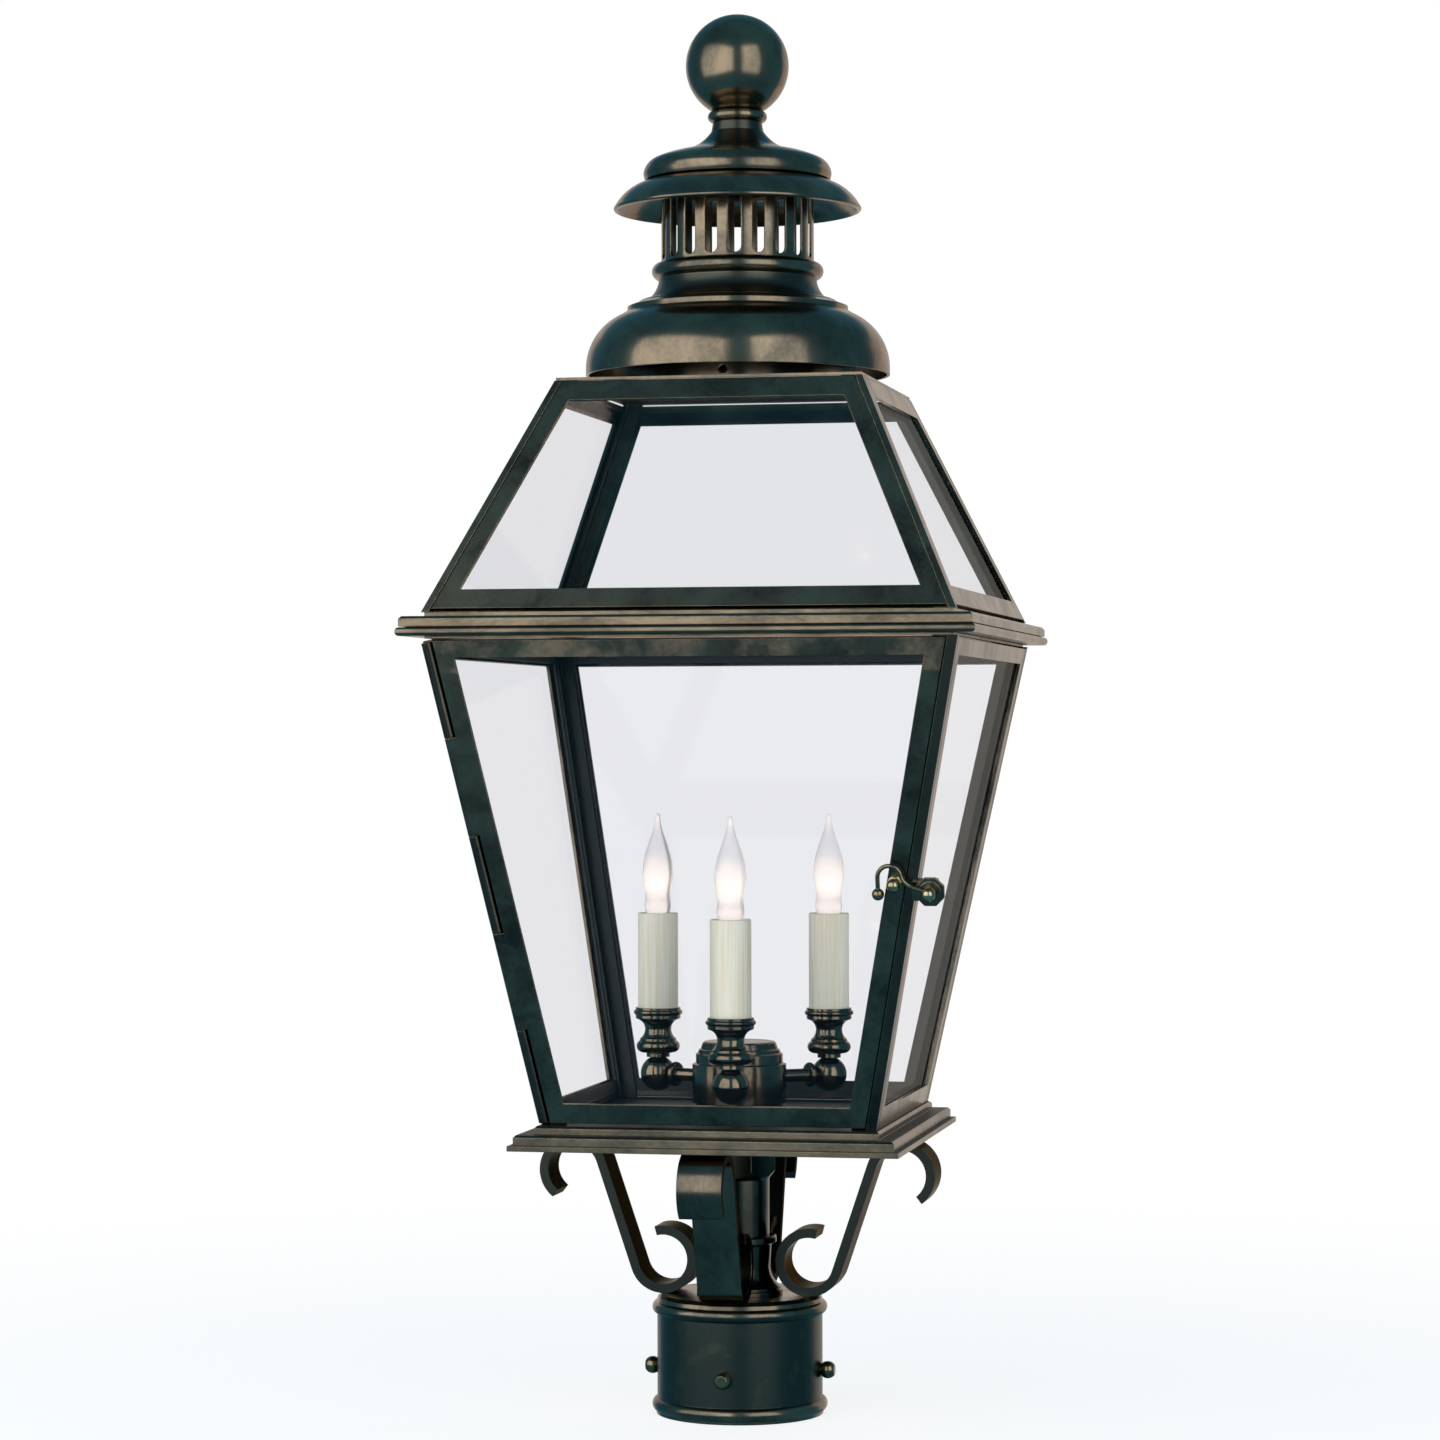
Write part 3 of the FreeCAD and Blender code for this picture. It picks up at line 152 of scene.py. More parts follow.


# Turned castings, blackened, and painted darker than the fitter as shade under the tray: nearly
# black, with a soft brown gleam along each rounded edge.
cast_bronze = aged_bronze("stem_bronze_painted_shade", "#5f564a", "#3c3a34", "#d2b186", 26, 0.2)
finish(cast_bronze, "stem_base", "stem_tube", "stem_coupling")
# The same metal, bare enough on its beads to show as brown rings. The wall between them kept its
# oxide apart from a few paler smudges where hands held it.
fitter_bronze = aged_bronze("beaded_cast_bronze", "#8b7963", "#5b5449", "#d2b186", 26, 0.2)
finish(fitter_bronze, "post_fitter")
bead_height = 8.5
fitter_low, fitter_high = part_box("post_fitter")
tree = fitter_bronze.node_tree
place = add(tree, "ShaderNodeTexCoord").outputs["Object"]
smudge = add(tree, "ShaderNodeTexNoise", {
    "Vector": place, "Scale": 1 / (11 * MM), "Detail": 4.0}).outputs["Fac"]
smudge = add(tree, "ShaderNodeMapRange", {
    "Value": smudge, "From Min": 0.56, "From Max": 0.7, "To Min": 1.0, "To Max": 0.72})
between_beads = height_mask(fitter_bronze, fitter_low.z / MM + bead_height,
                            fitter_high.z / MM - bead_height)
wall = add(tree, "ShaderNodeMath", {
    0: smudge.outputs["Result"], 1: between_beads}, operation="MULTIPLY")
darken_for_oxide_and_shade(fitter_bronze, wall.outputs[0], "#474b43", 0.3)


# ------------------------------------------------------------ set screws
# Four turned brass thumb screws with ball heads. They pass through the fitter's wall and grip the
# post. The ball was polished first, so it stays a little brighter than the castings.

def turned_mesh(name, outline, steps=48):
    """A closed mesh turned about Z from (radius, height) points in mm, both ends on the axis."""
    made = bpy.data.meshes.new(name)
    shape = bmesh.new()
    rings = []
    for radius, height in outline:
        if radius < 1e-6:
            rings.append([shape.verts.new((0, 0, height * MM))])
        else:
            rings.append([shape.verts.new((radius * math.cos(math.tau * step / steps) * MM,
                                           radius * math.sin(math.tau * step / steps) * MM,
                                           height * MM)) for step in range(steps)])
    for low, high in zip(rings, rings[1:]):
        for step in range(steps):
            after = (step + 1) % steps
            if len(low) == 1:
                shape.faces.new((low[0], high[after], high[step]))
            elif len(high) == 1:
                shape.faces.new((low[step], low[after], high[0]))
            else:
                shape.faces.new((low[step], low[after], high[after], high[step]))
    bmesh.ops.recalc_face_normals(shape, faces=shape.faces)
    shape.to_mesh(made)
    shape.free()
    return made


def arc(middle, height, radius, start, end, steps=8):
    """Outline points on an arc, with its angles in degrees from straight out."""
    return [(middle + radius * math.cos(math.radians(start + (end - start) * step / steps)),
             height + radius * math.sin(math.radians(start + (end - start) * step / steps)))
            for step in range(steps + 1)]


def new_object(name, mesh, smooth=40):
    """An object of that mesh at the origin, smooth except at corners sharper than the angle."""
    made = bpy.data.objects.new(name, mesh)
    scene.collection.objects.link(made)
    for polygon in mesh.polygons:
        polygon.use_smooth = True
    mesh.set_sharp_from_angle(angle=math.radians(smooth))
    return made


def ring_of(name, mesh, material, count, first=0.0, wrap=0.0):
    """Repeats a mesh evenly about Z with Geometry Nodes. With a wrap radius, the mesh is a flat
    strip in X and Z that is first bent round to that radius."""
    carrier = new_object(name, mesh)
    tree = bpy.data.node_groups.new(name + "_ring", "GeometryNodeTree")
    face = tree.interface
    face.new_socket(name="Piece", in_out="INPUT", socket_type="NodeSocketGeometry")
    ports = {}
    for label, kind in (("Count", "NodeSocketInt"), ("First Angle", "NodeSocketFloat"),
                        ("Wrap Radius", "NodeSocketFloat"), ("Material", "NodeSocketMaterial")):
        ports[label] = face.new_socket(name=label, in_out="INPUT", socket_type=kind).identifier
    face.new_socket(name="Ring", in_out="OUTPUT", socket_type="NodeSocketGeometry")
    given = add(tree, "NodeGroupInput").outputs
    at = add(tree, "ShaderNodeSeparateXYZ", {0: add(tree, "GeometryNodeInputPosition").outputs[0]})
    turn = add(tree, "ShaderNodeMath", {
        0: at.outputs["X"], 1: given["Wrap Radius"]}, operation="DIVIDE")
    depth = add(tree, "ShaderNodeMath", {
        0: given["Wrap Radius"], 1: at.outputs["Y"]}, operation="SUBTRACT")
    sine = add(tree, "ShaderNodeMath", {0: turn.outputs[0]}, operation="SINE")
    cosine = add(tree, "ShaderNodeMath", {0: turn.outputs[0]}, operation="COSINE")
    across = add(tree, "ShaderNodeMath", {
        0: sine.outputs[0], 1: depth.outputs[0]}, operation="MULTIPLY")
    forward = add(tree, "ShaderNodeMath", {
        0: cosine.outputs[0], 1: depth.outputs[0]}, operation="MULTIPLY")
    forward = add(tree, "ShaderNodeMath", {0: forward.outputs[0], 1: -1.0}, operation="MULTIPLY")
    bent = add(tree, "ShaderNodeCombineXYZ", {
        "X": across.outputs[0], "Y": forward.outputs[0], "Z": at.outputs["Z"]})
    wraps = add(tree, "FunctionNodeCompare", {
        0: given["Wrap Radius"], 1: 0.0}, operation="GREATER_THAN")
    piece = add(tree, "GeometryNodeSetPosition", {
        "Geometry": given["Piece"], "Selection": wraps.outputs[0], "Position": bent.outputs[0]})
    spots = add(tree, "GeometryNodePoints", {"Count": given["Count"]})
    index = add(tree, "GeometryNodeInputIndex").outputs[0]
    step = add(tree, "ShaderNodeMath", {0: math.tau, 1: given["Count"]}, operation="DIVIDE")
    angle = add(tree, "ShaderNodeMath", {
        0: index, 1: step.outputs[0], 2: given["First Angle"]}, operation="MULTIPLY_ADD")
    spin = add(tree, "ShaderNodeCombineXYZ", {"Z": angle.outputs[0]})
    ring = add(tree, "GeometryNodeInstanceOnPoints", {
        "Points": spots.outputs[0], "Instance": piece.outputs[0], "Rotation": spin.outputs[0]})
    real = add(tree, "GeometryNodeRealizeInstances", {0: ring.outputs[0]})
    joined = add(tree, "GeometryNodeMergeByDistance", {0: real.outputs[0], "Distance": 0.01 * MM})
    painted = add(tree, "GeometryNodeSetMaterial", {
        0: joined.outputs[0], "Material": given["Material"]})
    add(tree, "NodeGroupOutput", {0: painted.outputs[0]})
    maker = carrier.modifiers.new("ring", "NODES")
    maker.node_group = tree
    maker[ports["Count"]] = count
    maker[ports["First Angle"]] = first
    maker[ports["Wrap Radius"]] = wrap
    maker[ports["Material"]] = material
    return settle(carrier)


def settle(made):
    """Turns an object and its modifiers into one plain mesh."""
    view = bpy.context.evaluated_depsgraph_get()
    mesh = bpy.data.meshes.new_from_object(made.evaluated_get(view))
    made.modifiers.clear()
    made.data = mesh
    return made


# Brass polished before the bath and rubbed since: small, sharp, straw-coloured glints.
polished_brass = aged_bronze("rubbed_brass", "#93805f", "#6a5f4c", "#e0c393", 9, 0.17)
screw_low, screw_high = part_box("set_screws")
screw_height = (screw_low.z + screw_high.z) / 2 / MM
screw_end = screw_high.x / MM
shank, shank_tip = 2.5, 40.1
neck, crown_flat = 3.3, 2.9
ball_radius = 4.75
ball_middle = screw_end - 3.76
screw = turned_mesh("set_screw", [
    (0, shank_tip), (shank - 0.3, shank_tip), (shank, shank_tip + 0.5),
    (shank, ball_middle - 4.2), (neck, ball_middle - 4.0),
    *arc(0, ball_middle, ball_radius, -44, 44, 12),
    (crown_flat, screw_end), (0, screw_end)], 32)
for vertex in screw.vertices:
    x, y, z = vertex.co
    vertex.co = (x, -z, y + screw_height * MM)
set_screws = ring_of("set_screws_turned", screw, polished_brass, 4)
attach(set_screws, "lantern")
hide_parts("set_screws")


# ------------------------------------------------------------ scroll brackets
# Four flat bronze straps, bent hot into a scroll at each end and riveted up under the tray.
# The bending leaves a faint grain along the strap.

def inward_shade_mask(made):
    """1 on faces that look in at the lantern's own axis, where painted shade goes."""
    tree = made.node_tree
    place = add(tree, "ShaderNodeTexCoord").outputs["Object"]
    out = add(tree, "ShaderNodeVectorMath", {0: place, 1: (1, 1, 0)}, operation="MULTIPLY")
    out = add(tree, "ShaderNodeVectorMath", {0: out.outputs[0]}, operation="NORMALIZE")
    faces = add(tree, "ShaderNodeNewGeometry").outputs["Normal"]
    lean = add(tree, "ShaderNodeVectorMath", {
        0: out.outputs[0], 1: faces}, operation="DOT_PRODUCT")
    return add(tree, "ShaderNodeMapRange", {
        "Value": lean.outputs["Value"], "From Min": -0.1, "From Max": -0.4}).outputs["Result"]


# Flat bar bent hot: the outer faces take a broad brown light, with clouds drawn out along the
# strap. The narrow side faces and the inner faces are painted dark as shade.
strap_bronze = aged_bronze("bent_strap_bronze", "#7d6d5c", "#544e45", "#d2b186", 22, 0.2,
                           (1, 1, 0.5))
finish(strap_bronze, "scroll_bracket_back", "scroll_bracket_front", "scroll_bracket_left",
       "scroll_bracket_right", "wiring_tube", "lock_nuts")
tree = strap_bronze.node_tree
here = add(tree, "ShaderNodeTexCoord").outputs["Object"]
around = add(tree, "ShaderNodeVectorMath", {0: here, 1: (0, 0, 1)}, operation="CROSS_PRODUCT")
around = add(tree, "ShaderNodeVectorMath", {0: around.outputs[0]}, operation="NORMALIZE")
faces = add(tree, "ShaderNodeNewGeometry").outputs["Normal"]
sideways = add(tree, "ShaderNodeVectorMath", {
    0: around.outputs[0], 1: faces}, operation="DOT_PRODUCT")
sideways = add(tree, "ShaderNodeMath", {0: sideways.outputs["Value"]}, operation="ABSOLUTE")
# Painted shade on the strap's narrow side faces.
side_face_shade = add(tree, "ShaderNodeMapRange", {
    "Value": sideways.outputs[0], "From Min": 0.75, "From Max": 0.88})
darken_for_oxide_and_shade(strap_bronze, side_face_shade.outputs["Result"], "#3d3e38", 0.3)
# Painted shade on the strap faces that look in at the axis.
darken_for_oxide_and_shade(strap_bronze, inward_shade_mask(strap_bronze), "#45443c", 0.3)
tree.nodes["Principled BSDF"].inputs["Specular Tint"].default_value = linear("#89877c")


# ------------------------------------------------------------ tray, pan and corner posts
# Pressed bronze sheet with folded lips: the tray closes the pan from below, and the pan's plinth
# carries the leaning corner posts and the cabin. Soldered from inside, rubbed bare on every lip.

# Rolled sheet, rubbed on its upright lips: brown with broad darker clouds. Dust and soot keep the
# level faces dull.
sheet_bronze = aged_bronze("aged_sheet_bronze", "#83735f", "#4c4840", "#d6b78c", 34, 0.21,
                           (0.6, 0.6, 1))
finish(sheet_bronze, "base_tray", "base_pan")
# Drawn angle between the frames, painted as the darkest metal of the cabin for the shade the
# frames cast on it.
shaded_post_bronze = aged_bronze("aged_post_bronze", "#5f564a", "#35342f", "#c9aa80", 30, 0.24,
                          (1, 1, 0.6))
finish(shaded_post_bronze, "corner_post_back_left", "corner_post_back_right", "corner_post_front_left",
       "corner_post_front_right")
# Painted shade on the posts' faces that look in at the axis.
darken_for_oxide_and_shade(shaded_post_bronze, inward_shade_mask(shaded_post_bronze))
tree = sheet_bronze.node_tree
faces = add(tree, "ShaderNodeNewGeometry").outputs["Normal"]
upward = add(tree, "ShaderNodeSeparateXYZ", {0: faces}).outputs["Z"]
level = add(tree, "ShaderNodeMapRange", {"Value": upward, "From Min": 0.9, "From Max": 0.97})
darken_for_oxide_and_shade(sheet_bronze, level.outputs["Result"], "#4a4942", 0.5)


# ------------------------------------------------------------ cabin frames and their glass
# Three fixed frames of drawn bronze bar around panes of window glass. A strip of black glazing
# rubber inside holds each pane. The glass is a little uneven and very slightly grey.

def window_glass(name, tint):
    """Drawn window glass: clear, faintly wavy, a cool grey tint, mirroring more at a low angle."""
    made, tree, output = new_material(name)
    place = add(tree, "ShaderNodeTexCoord").outputs["Object"]
    wave = add(tree, "ShaderNodeTexNoise", {
        "Vector": place, "Scale": 1 / (70 * MM), "Detail": 1.0}).outputs["Fac"]
    relief = add(tree, "ShaderNodeBump", {"Height": wave, "Strength": 0.04, "Distance": 1 * MM})
    slant = add(tree, "ShaderNodeLayerWeight", {"Blend": 0.5}).outputs["Facing"]
    slant = add(tree, "ShaderNodeMath", {0: slant, 1: 5.0}, operation="POWER").outputs[0]
    mirrored = add(tree, "ShaderNodeMapRange", {
        "Value": slant, "To Min": 0.012, "To Max": 0.14}).outputs["Result"]
    through = add(tree, "ShaderNodeBsdfTransparent", {"Color": linear(tint)})
    gloss = add(tree, "ShaderNodeBsdfAnisotropic", {
        "Color": linear("#ffffff"), "Roughness": 0.03, "Normal": relief.outputs["Normal"]})
    both = add(tree, "ShaderNodeMixShader", {
        0: mirrored, 1: through.outputs[0], 2: gloss.outputs[0]})
    tree.links.new(both.outputs[0], output.inputs["Surface"])
    return made


def plain(name, colour, rough, speck_size, depth, mottle=0.12):
    """A non-metal with a fine mottle in its colour, and a relief of that speck size and depth
    in mm."""
    made, tree, output = new_material(name)
    place = add(tree, "ShaderNodeTexCoord").outputs["Object"]
    grain = add(tree, "ShaderNodeTexNoise", {
        "Vector": place, "Scale": 1 / (speck_size * MM), "Detail": 4.0}).outputs["Fac"]
    shade = add(tree, "ShaderNodeMapRange", {
        "Value": grain, "From Min": 0.3, "From Max": 0.7,
        "To Min": 1 - mottle, "To Max": 1 + mottle})
    tone = add(tree, "ShaderNodeMix", {0: 1.0, 6: linear(colour), 7: shade.outputs[0]},
               data_type="RGBA", blend_type="MULTIPLY").outputs[2]
    relief = add(tree, "ShaderNodeBump", {
        "Height": grain, "Strength": 0.4, "Distance": depth * MM})
    shader = add(tree, "ShaderNodeBsdfPrincipled", {
        "Base Color": tone, "Roughness": rough, "Normal": relief.outputs["Normal"]})
    tree.links.new(shader.outputs[0], output.inputs["Surface"])
    return made


# Drawn bar: smooth flat faces, dark with brown clouds drawn out along the uprights.
bar_bronze = aged_bronze("drawn_bar_bronze", "#83735f", "#3f3d37", "#d6b78c", 30, 0.2,
                         (1, 1, 0.6))
finish(bar_bronze, "cabin_frame_left", "cabin_frame_right")
# The same bar at the back, with painted shade on its inner faces.
shaded_back_bronze = aged_bronze("back_bar_bronze_painted_shade", "#83735f", "#3f3d37", "#d6b78c", 30, 0.2,
                          (1, 1, 0.6))
finish(shaded_back_bronze, "cabin_frame_back")
darken_for_oxide_and_shade(shaded_back_bronze, inward_shade_mask(shaded_back_bronze), "#45443c", 0.34)
# Clear window glass: all but unseen face on, with a faint grey and a soft mirror at the slant.
cabin_pane = window_glass("drawn_window_glass", "#fafafb")
finish(cabin_pane, "cabin_glass_back", "cabin_glass_left", "cabin_glass_right")
# Moulded rubber: a matt near-black line around each pane.
glazing_rubber = plain("glazing_rubber", "#15191a", 0.55, 1.5, 0.02)
finish(glazing_rubber, "cabin_glass_beads")


# ------------------------------------------------------------ door and hinge
# The front frame is the door, hung on a brass pin along the left corner post. Its top rail is
# handled most, so more of the oxide has gone there.

# The cabin's drawn bar, handled at every lamp change: powdery brown patches on the top rail.
door_bronze = aged_bronze("handled_door_bronze", "#83735f", "#3f3d37", "#d6b78c", 24, 0.2,
                          (0.8, 0.8, 0.8))
finish(door_bronze, "door_frame")
# Painted shade on the door frame's faces that look in at the axis.
darken_for_oxide_and_shade(door_bronze, inward_shade_mask(door_bronze))
tree = door_bronze.node_tree
door_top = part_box("door_frame")[1].z / MM
top_rail = height_mask(door_bronze, door_top - 17, door_top + 5)
place = add(tree, "ShaderNodeTexCoord").outputs["Object"]
patches = add(tree, "ShaderNodeTexNoise", {
    "Vector": place, "Scale": 1 / (24 * MM), "Detail": 5.0, "Roughness": 0.65}).outputs["Fac"]
patches = add(tree, "ShaderNodeMapRange", {"Value": patches, "From Min": 0.42, "From Max": 0.62})
handled = add(tree, "ShaderNodeMath", {
    0: patches.outputs["Result"], 1: top_rail}, operation="MULTIPLY")
powdery = add(tree, "ShaderNodeMapRange", {
    "Value": handled.outputs[0], "To Min": 1.0, "To Max": 0.5})
tree.links.new(powdery.outputs["Result"], tree.nodes["Principled BSDF"].inputs["Metallic"])
finish(cabin_pane, "door_glass")
finish(glazing_rubber, "door_glass_bead")
finish(polished_brass, "hinge_pin")


# ------------------------------------------------------------ latch
# A bent wire hook with a ball end, turning on a round-headed screw in an arm of the corner post,
# drops over a ball-headed stud on the door. Brass, rubbed by use.

finish(polished_brass, "latch_hook")
# Turned brass worn bright wherever the hook rubs it: the palest metal of the lantern.
stud_brass = aged_bronze("worn_stud_brass", "#c2ad86", "#93805f", "#eed9b0", 9, 0.15)
finish(stud_brass, "latch_pivot_screw", "door_keeper")
finish(bar_bronze, "latch_bracket")


# ------------------------------------------------------------ cornice
# Two square rings of rolled bronze moulding, mitred at the corners, between cabin and roof.
# They stand proud on all sides, so their faces are rubbed the barest on the lantern.

# Rolled moulding: brown all along, in thin level streaks that its rolls left.
cornice_bronze = aged_bronze("rubbed_cornice_bronze", "#84725d", "#584e41", "#dcbf95", 18, 0.2,
                             (0.5, 0.5, 1.4))
finish(cornice_bronze, "cornice_band", "cornice_cap")


# ------------------------------------------------------------ roof
# Four leaning frames with a pane in each, closed at the hips by narrow strips. Drawn bronze bar.

# Drawn bar out in the weather: dark, with clouds that run no special way.
roof_bronze = aged_bronze("drawn_roof_bronze", "#83735f", "#3f3d37", "#d6b78c", 30, 0.2)
finish(roof_bronze, "roof_frame_back", "roof_frame_front", "roof_frame_left", "roof_frame_right",
       "roof_hips")
# The cabin's window glass, a shade greyer under its film of soot.
finish(window_glass("drawn_roof_glass", "#f9f9fa"), "roof_glass")


# ------------------------------------------------------------ dome and chimney collar
# A spun dome soldered to a round flue, which stands on a square plate. The rim clears the plate,
# so that air passes under it. The soft spun metal tarnishes in broad clouds.

# Spun sheet, rubbed on its round shoulders: broad warm lights that break up in the clouds.
spun_bronze = aged_bronze("spun_bronze", "#8b7963", "#5d554a", "#d6b78c", 30, 0.19)
finish(spun_bronze, "dome", "chimney_collar")


# ------------------------------------------------------------ vent
# A flared neck carries a slotted sleeve under a wide brim and an ogee cap, so hot air leaves and
# rain stays out. The sleeve is rolled sheet with its slots pierced before rolling.

# The same spun sheet, with its oxide whole in the bend of the neck and on the cap's top.
neck_bronze = aged_bronze("spun_neck_bronze", "#8b7963", "#5d554a", "#d6b78c", 30, 0.19)
finish(neck_bronze, "vent_neck", "vent_cap")
finish(spun_bronze, "vent_brim")
cap_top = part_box("vent_cap")[1].z / MM
neck_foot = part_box("vent_neck")[0].z / MM
for low, high in ((cap_top - 12, cap_top + 2), (neck_foot + 7.5, neck_foot + 17)):
    darken_for_oxide_and_shade(neck_bronze, height_mask(neck_bronze, low, high), "#4a4a42", 0.32)
sleeve_low, sleeve_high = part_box("vent_sleeve")
sleeve_radius = sleeve_high.x
slots = 20
slot_half = 3.5
lower_band, upper_band = 1.7, 3.5
pitch = math.tau * sleeve_radius / MM / slots
foot, head = sleeve_low.z / MM, sleeve_high.z / MM
slot_foot, slot_head = foot + lower_band + slot_half, head - upper_band
bay = bmesh.new()


def bay_point(x, z):
    """A point of the flat bay, in mm."""
    return bay.verts.new((x * MM, 0, z * MM))


rows = [foot, slot_foot, slot_head, head]
for side in (-1, 1):
    edges = [side * pitch / 2, side * (slot_half + pitch / 2) / 2, side * slot_half]
    grid = [[bay_point(x, z) for z in rows] for x in edges]
    for left, right in zip(grid, grid[1:]):
        for low in range(3):
            corners = (left[low], right[low], right[low + 1], left[low + 1])
            bay.faces.new(corners if side < 0 else corners[::-1])
arcs = 12
spots = [-slot_half * math.cos(math.pi * step / arcs) for step in range(arcs + 1)]
columns = [[bay_point(x, z) for z in (
    foot, slot_foot - math.sqrt(max(0, slot_half ** 2 - x * x)), slot_head, head)] for x in spots]
for left, right in zip(columns, columns[1:]):
    bay.faces.new((left[0], right[0], right[1], left[1]))
    bay.faces.new((left[2], right[2], right[3], left[3]))
bmesh.ops.remove_doubles(bay, verts=bay.verts, dist=0.001 * MM)
bay_mesh = bpy.data.meshes.new("sleeve_bay")
bay.to_mesh(bay_mesh)
bay.free()
sleeve = ring_of("vent_sleeve_pierced", bay_mesh, spun_bronze, slots, math.pi / slots,
                 sleeve_radius)
wall = sleeve.modifiers.new("wall", "SOLIDIFY")
wall.thickness = 1.3 * MM
wall.offset = -1
rim = sleeve.modifiers.new("rim", "BEVEL")
rim.width = 0.25 * MM
rim.segments = 2
rim.angle_limit = math.radians(50)
settle(sleeve)
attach(sleeve, "lantern")
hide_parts("vent_sleeve")


# ------------------------------------------------------------ finial
# A hollow spun ball on a turned collar, screwed down over the cap with a long bolt.

finish(spun_bronze, "finial_ball", "finial_collar")
finish(polished_brass, "finial_bolt")


# ------------------------------------------------------------ lamp cluster
# A stepped hub over the wiring, three arms with ball elbows, and a turned cup for each candle.
# All turned brass, darkened like the rest but sheltered, so it is evener and glossier.

# Turned brass, blackened and kept dry behind the glass: dark, with sharp bright rings.
lamp_bronze = aged_bronze("sheltered_turned_bronze", "#8b7860", "#5f564a", "#cfae7f", 20, 0.15)
finish(lamp_bronze, "lamp_hub", "lamp_arms", "ball_elbows", "candle_cups")


# ------------------------------------------------------------ candle sleeves and sockets
# Cream card tubes stand in the cups and hide the moulded sockets. The card is waxed, a little
# yellow, and shows the long streaks of the roll it was cut from.

def waxed_card():
    """Waxed card tube: cream, soft sheen, streaked lengthwise every 1 to 2 mm."""
    made, tree, output = new_material("waxed_card_tube")
    place = add(tree, "ShaderNodeTexCoord").outputs["Object"]
    place = add(tree, "ShaderNodeMapping", {"Vector": place, "Scale": (1, 1, 0.03)})
    streak = add(tree, "ShaderNodeTexNoise", {
        "Vector": place.outputs[0], "Scale": 1 / (1.6 * MM), "Detail": 3.0}).outputs["Fac"]
    share = add(tree, "ShaderNodeMapRange", {"Value": streak, "From Min": 0.35, "From Max": 0.65})
    colour = add(tree, "ShaderNodeMix", {
        0: share.outputs[0], 6: linear("#f4e6c4"), 7: linear("#fff6e4")},
        data_type="RGBA").outputs[2]
    shader = add(tree, "ShaderNodeBsdfPrincipled", {
        "Base Color": colour, "Roughness": 0.38, "IOR": 1.45, "Subsurface Weight": 0.15,
        "Subsurface Scale": 1.0 * MM})
    tree.links.new(shader.outputs[0], output.inputs["Surface"])
    return made


finish(waxed_card(), "candle_sleeves")
# Moulded phenolic: a dark brown, low-gloss plastic with a fine mottle.
finish(plain("moulded_phenolic_socket", "#3a2c22", 0.45, 2.0, 0.02), "lamp_sockets")


# ------------------------------------------------------------ bulbs
# Flame-shaped bulbs of frosted blown glass on small brass screw bases. The lit filament shows as
# a soft warm core low in the glass, and the drawn-out tip is nearly clear.

def frosted_glass():
    """Blown glass frosted inside: milky, with the filament's warm light caught low in its wall."""
    made, tree, output = new_material("frosted_blown_glass")
    lit = add(tree, "ShaderNodeAttribute", attribute_name="lit").outputs["Fac"]
    warm = add(tree, "ShaderNodeMix", {
        0: lit, 6: linear("#000000"), 7: linear("#ffd9b0")}, data_type="RGBA").outputs[2]
    shader = add(tree, "ShaderNodeBsdfPrincipled", {
        "Base Color": linear("#f4f3f4"), "Roughness": 0.32, "IOR": 1.2, "Transmission Weight": 0.8,
        "Emission Color": warm, "Emission Strength": 0.1})
    through = add(tree, "ShaderNodeBsdfTransparent", {"Color": linear("#e8e8e8")})
    lamp_ray = add(tree, "ShaderNodeLightPath").outputs["Is Shadow Ray"]
    both = add(tree, "ShaderNodeMixShader", {
        0: lamp_ray, 1: shader.outputs[0], 2: through.outputs[0]})
    tree.links.new(both.outputs[0], output.inputs["Surface"])
    return made


def glowing(name, colour, strength):
    """A lit filament coil, seen only as its own light."""
    made, tree, output = new_material(name)
    shader = add(tree, "ShaderNodeBsdfPrincipled", {
        "Base Color": linear(colour), "Roughness": 0.6, "Emission Color": linear(colour),
        "Emission Strength": strength})
    tree.links.new(shader.outputs[0], output.inputs["Surface"])
    return made


def smooth_outline(points, parts=6):
    """Extra outline points on a smooth curve through the given ones."""
    padded = [points[0]] + list(points) + [points[-1]]
    made = []
    for before, start, end, after in zip(padded, padded[1:], padded[2:], padded[3:]):
        for part in range(parts):
            t = part / parts
            made.append(tuple(0.5 * (2 * b + (c - a) * t + (2 * a - 5 * b + 4 * c - d) * t * t
                                     + (3 * b - a - 3 * c + d) * t ** 3)
                              for a, b, c, d in zip(before, start, end, after)))
    return made + [points[-1]]


def screw_thread(name, middle, foot, head, radius, rise, depth):
    """A closed threaded shell: the groove climbs one rise for each turn."""
    steps, levels = 48, 40
    made = bpy.data.meshes.new(name)
    shape = bmesh.new()
    rings = []
    for level in range(levels + 1):
        height = foot + (head - foot) * level / levels
        ring = []
        for step in range(steps):
            turn = step / steps
            fade = min(1, 6 * level / levels, 6 * (1 - level / levels))
            wave = depth * fade * (math.cos(math.tau * (height / rise - turn)) - 1) / 2
            out = (radius + wave) * MM
            ring.append(shape.verts.new((middle.x + out * math.cos(math.tau * turn),
                                         middle.y + out * math.sin(math.tau * turn),
                                         height * MM)))
        rings.append(ring)
    for low, high in zip(rings, rings[1:]):
        for step in range(steps):
            after = (step + 1) % steps
            shape.faces.new((low[step], low[after], high[after], high[step]))
    shape.faces.new(rings[0][::-1])
    shape.faces.new(rings[-1])
    shape.to_mesh(made)
    shape.free()
    return made


def stand_at(mesh, middle):
    """Moves a mesh made on the lantern's axis to its own lamp."""
    for vertex in mesh.vertices:
        vertex.co += Vector((middle.x, middle.y, 0))


bulb_glass = frosted_glass()
filament_light = glowing("lit_filament", "#ffe9cc", 4.0)
# Drawn brass, never blackened: plain yellow metal, slightly dulled.
bulb_brass = aged_bronze("drawn_bulb_brass", "#c9a866", "#a8915f", "#e6cf9a", 12, 0.25)
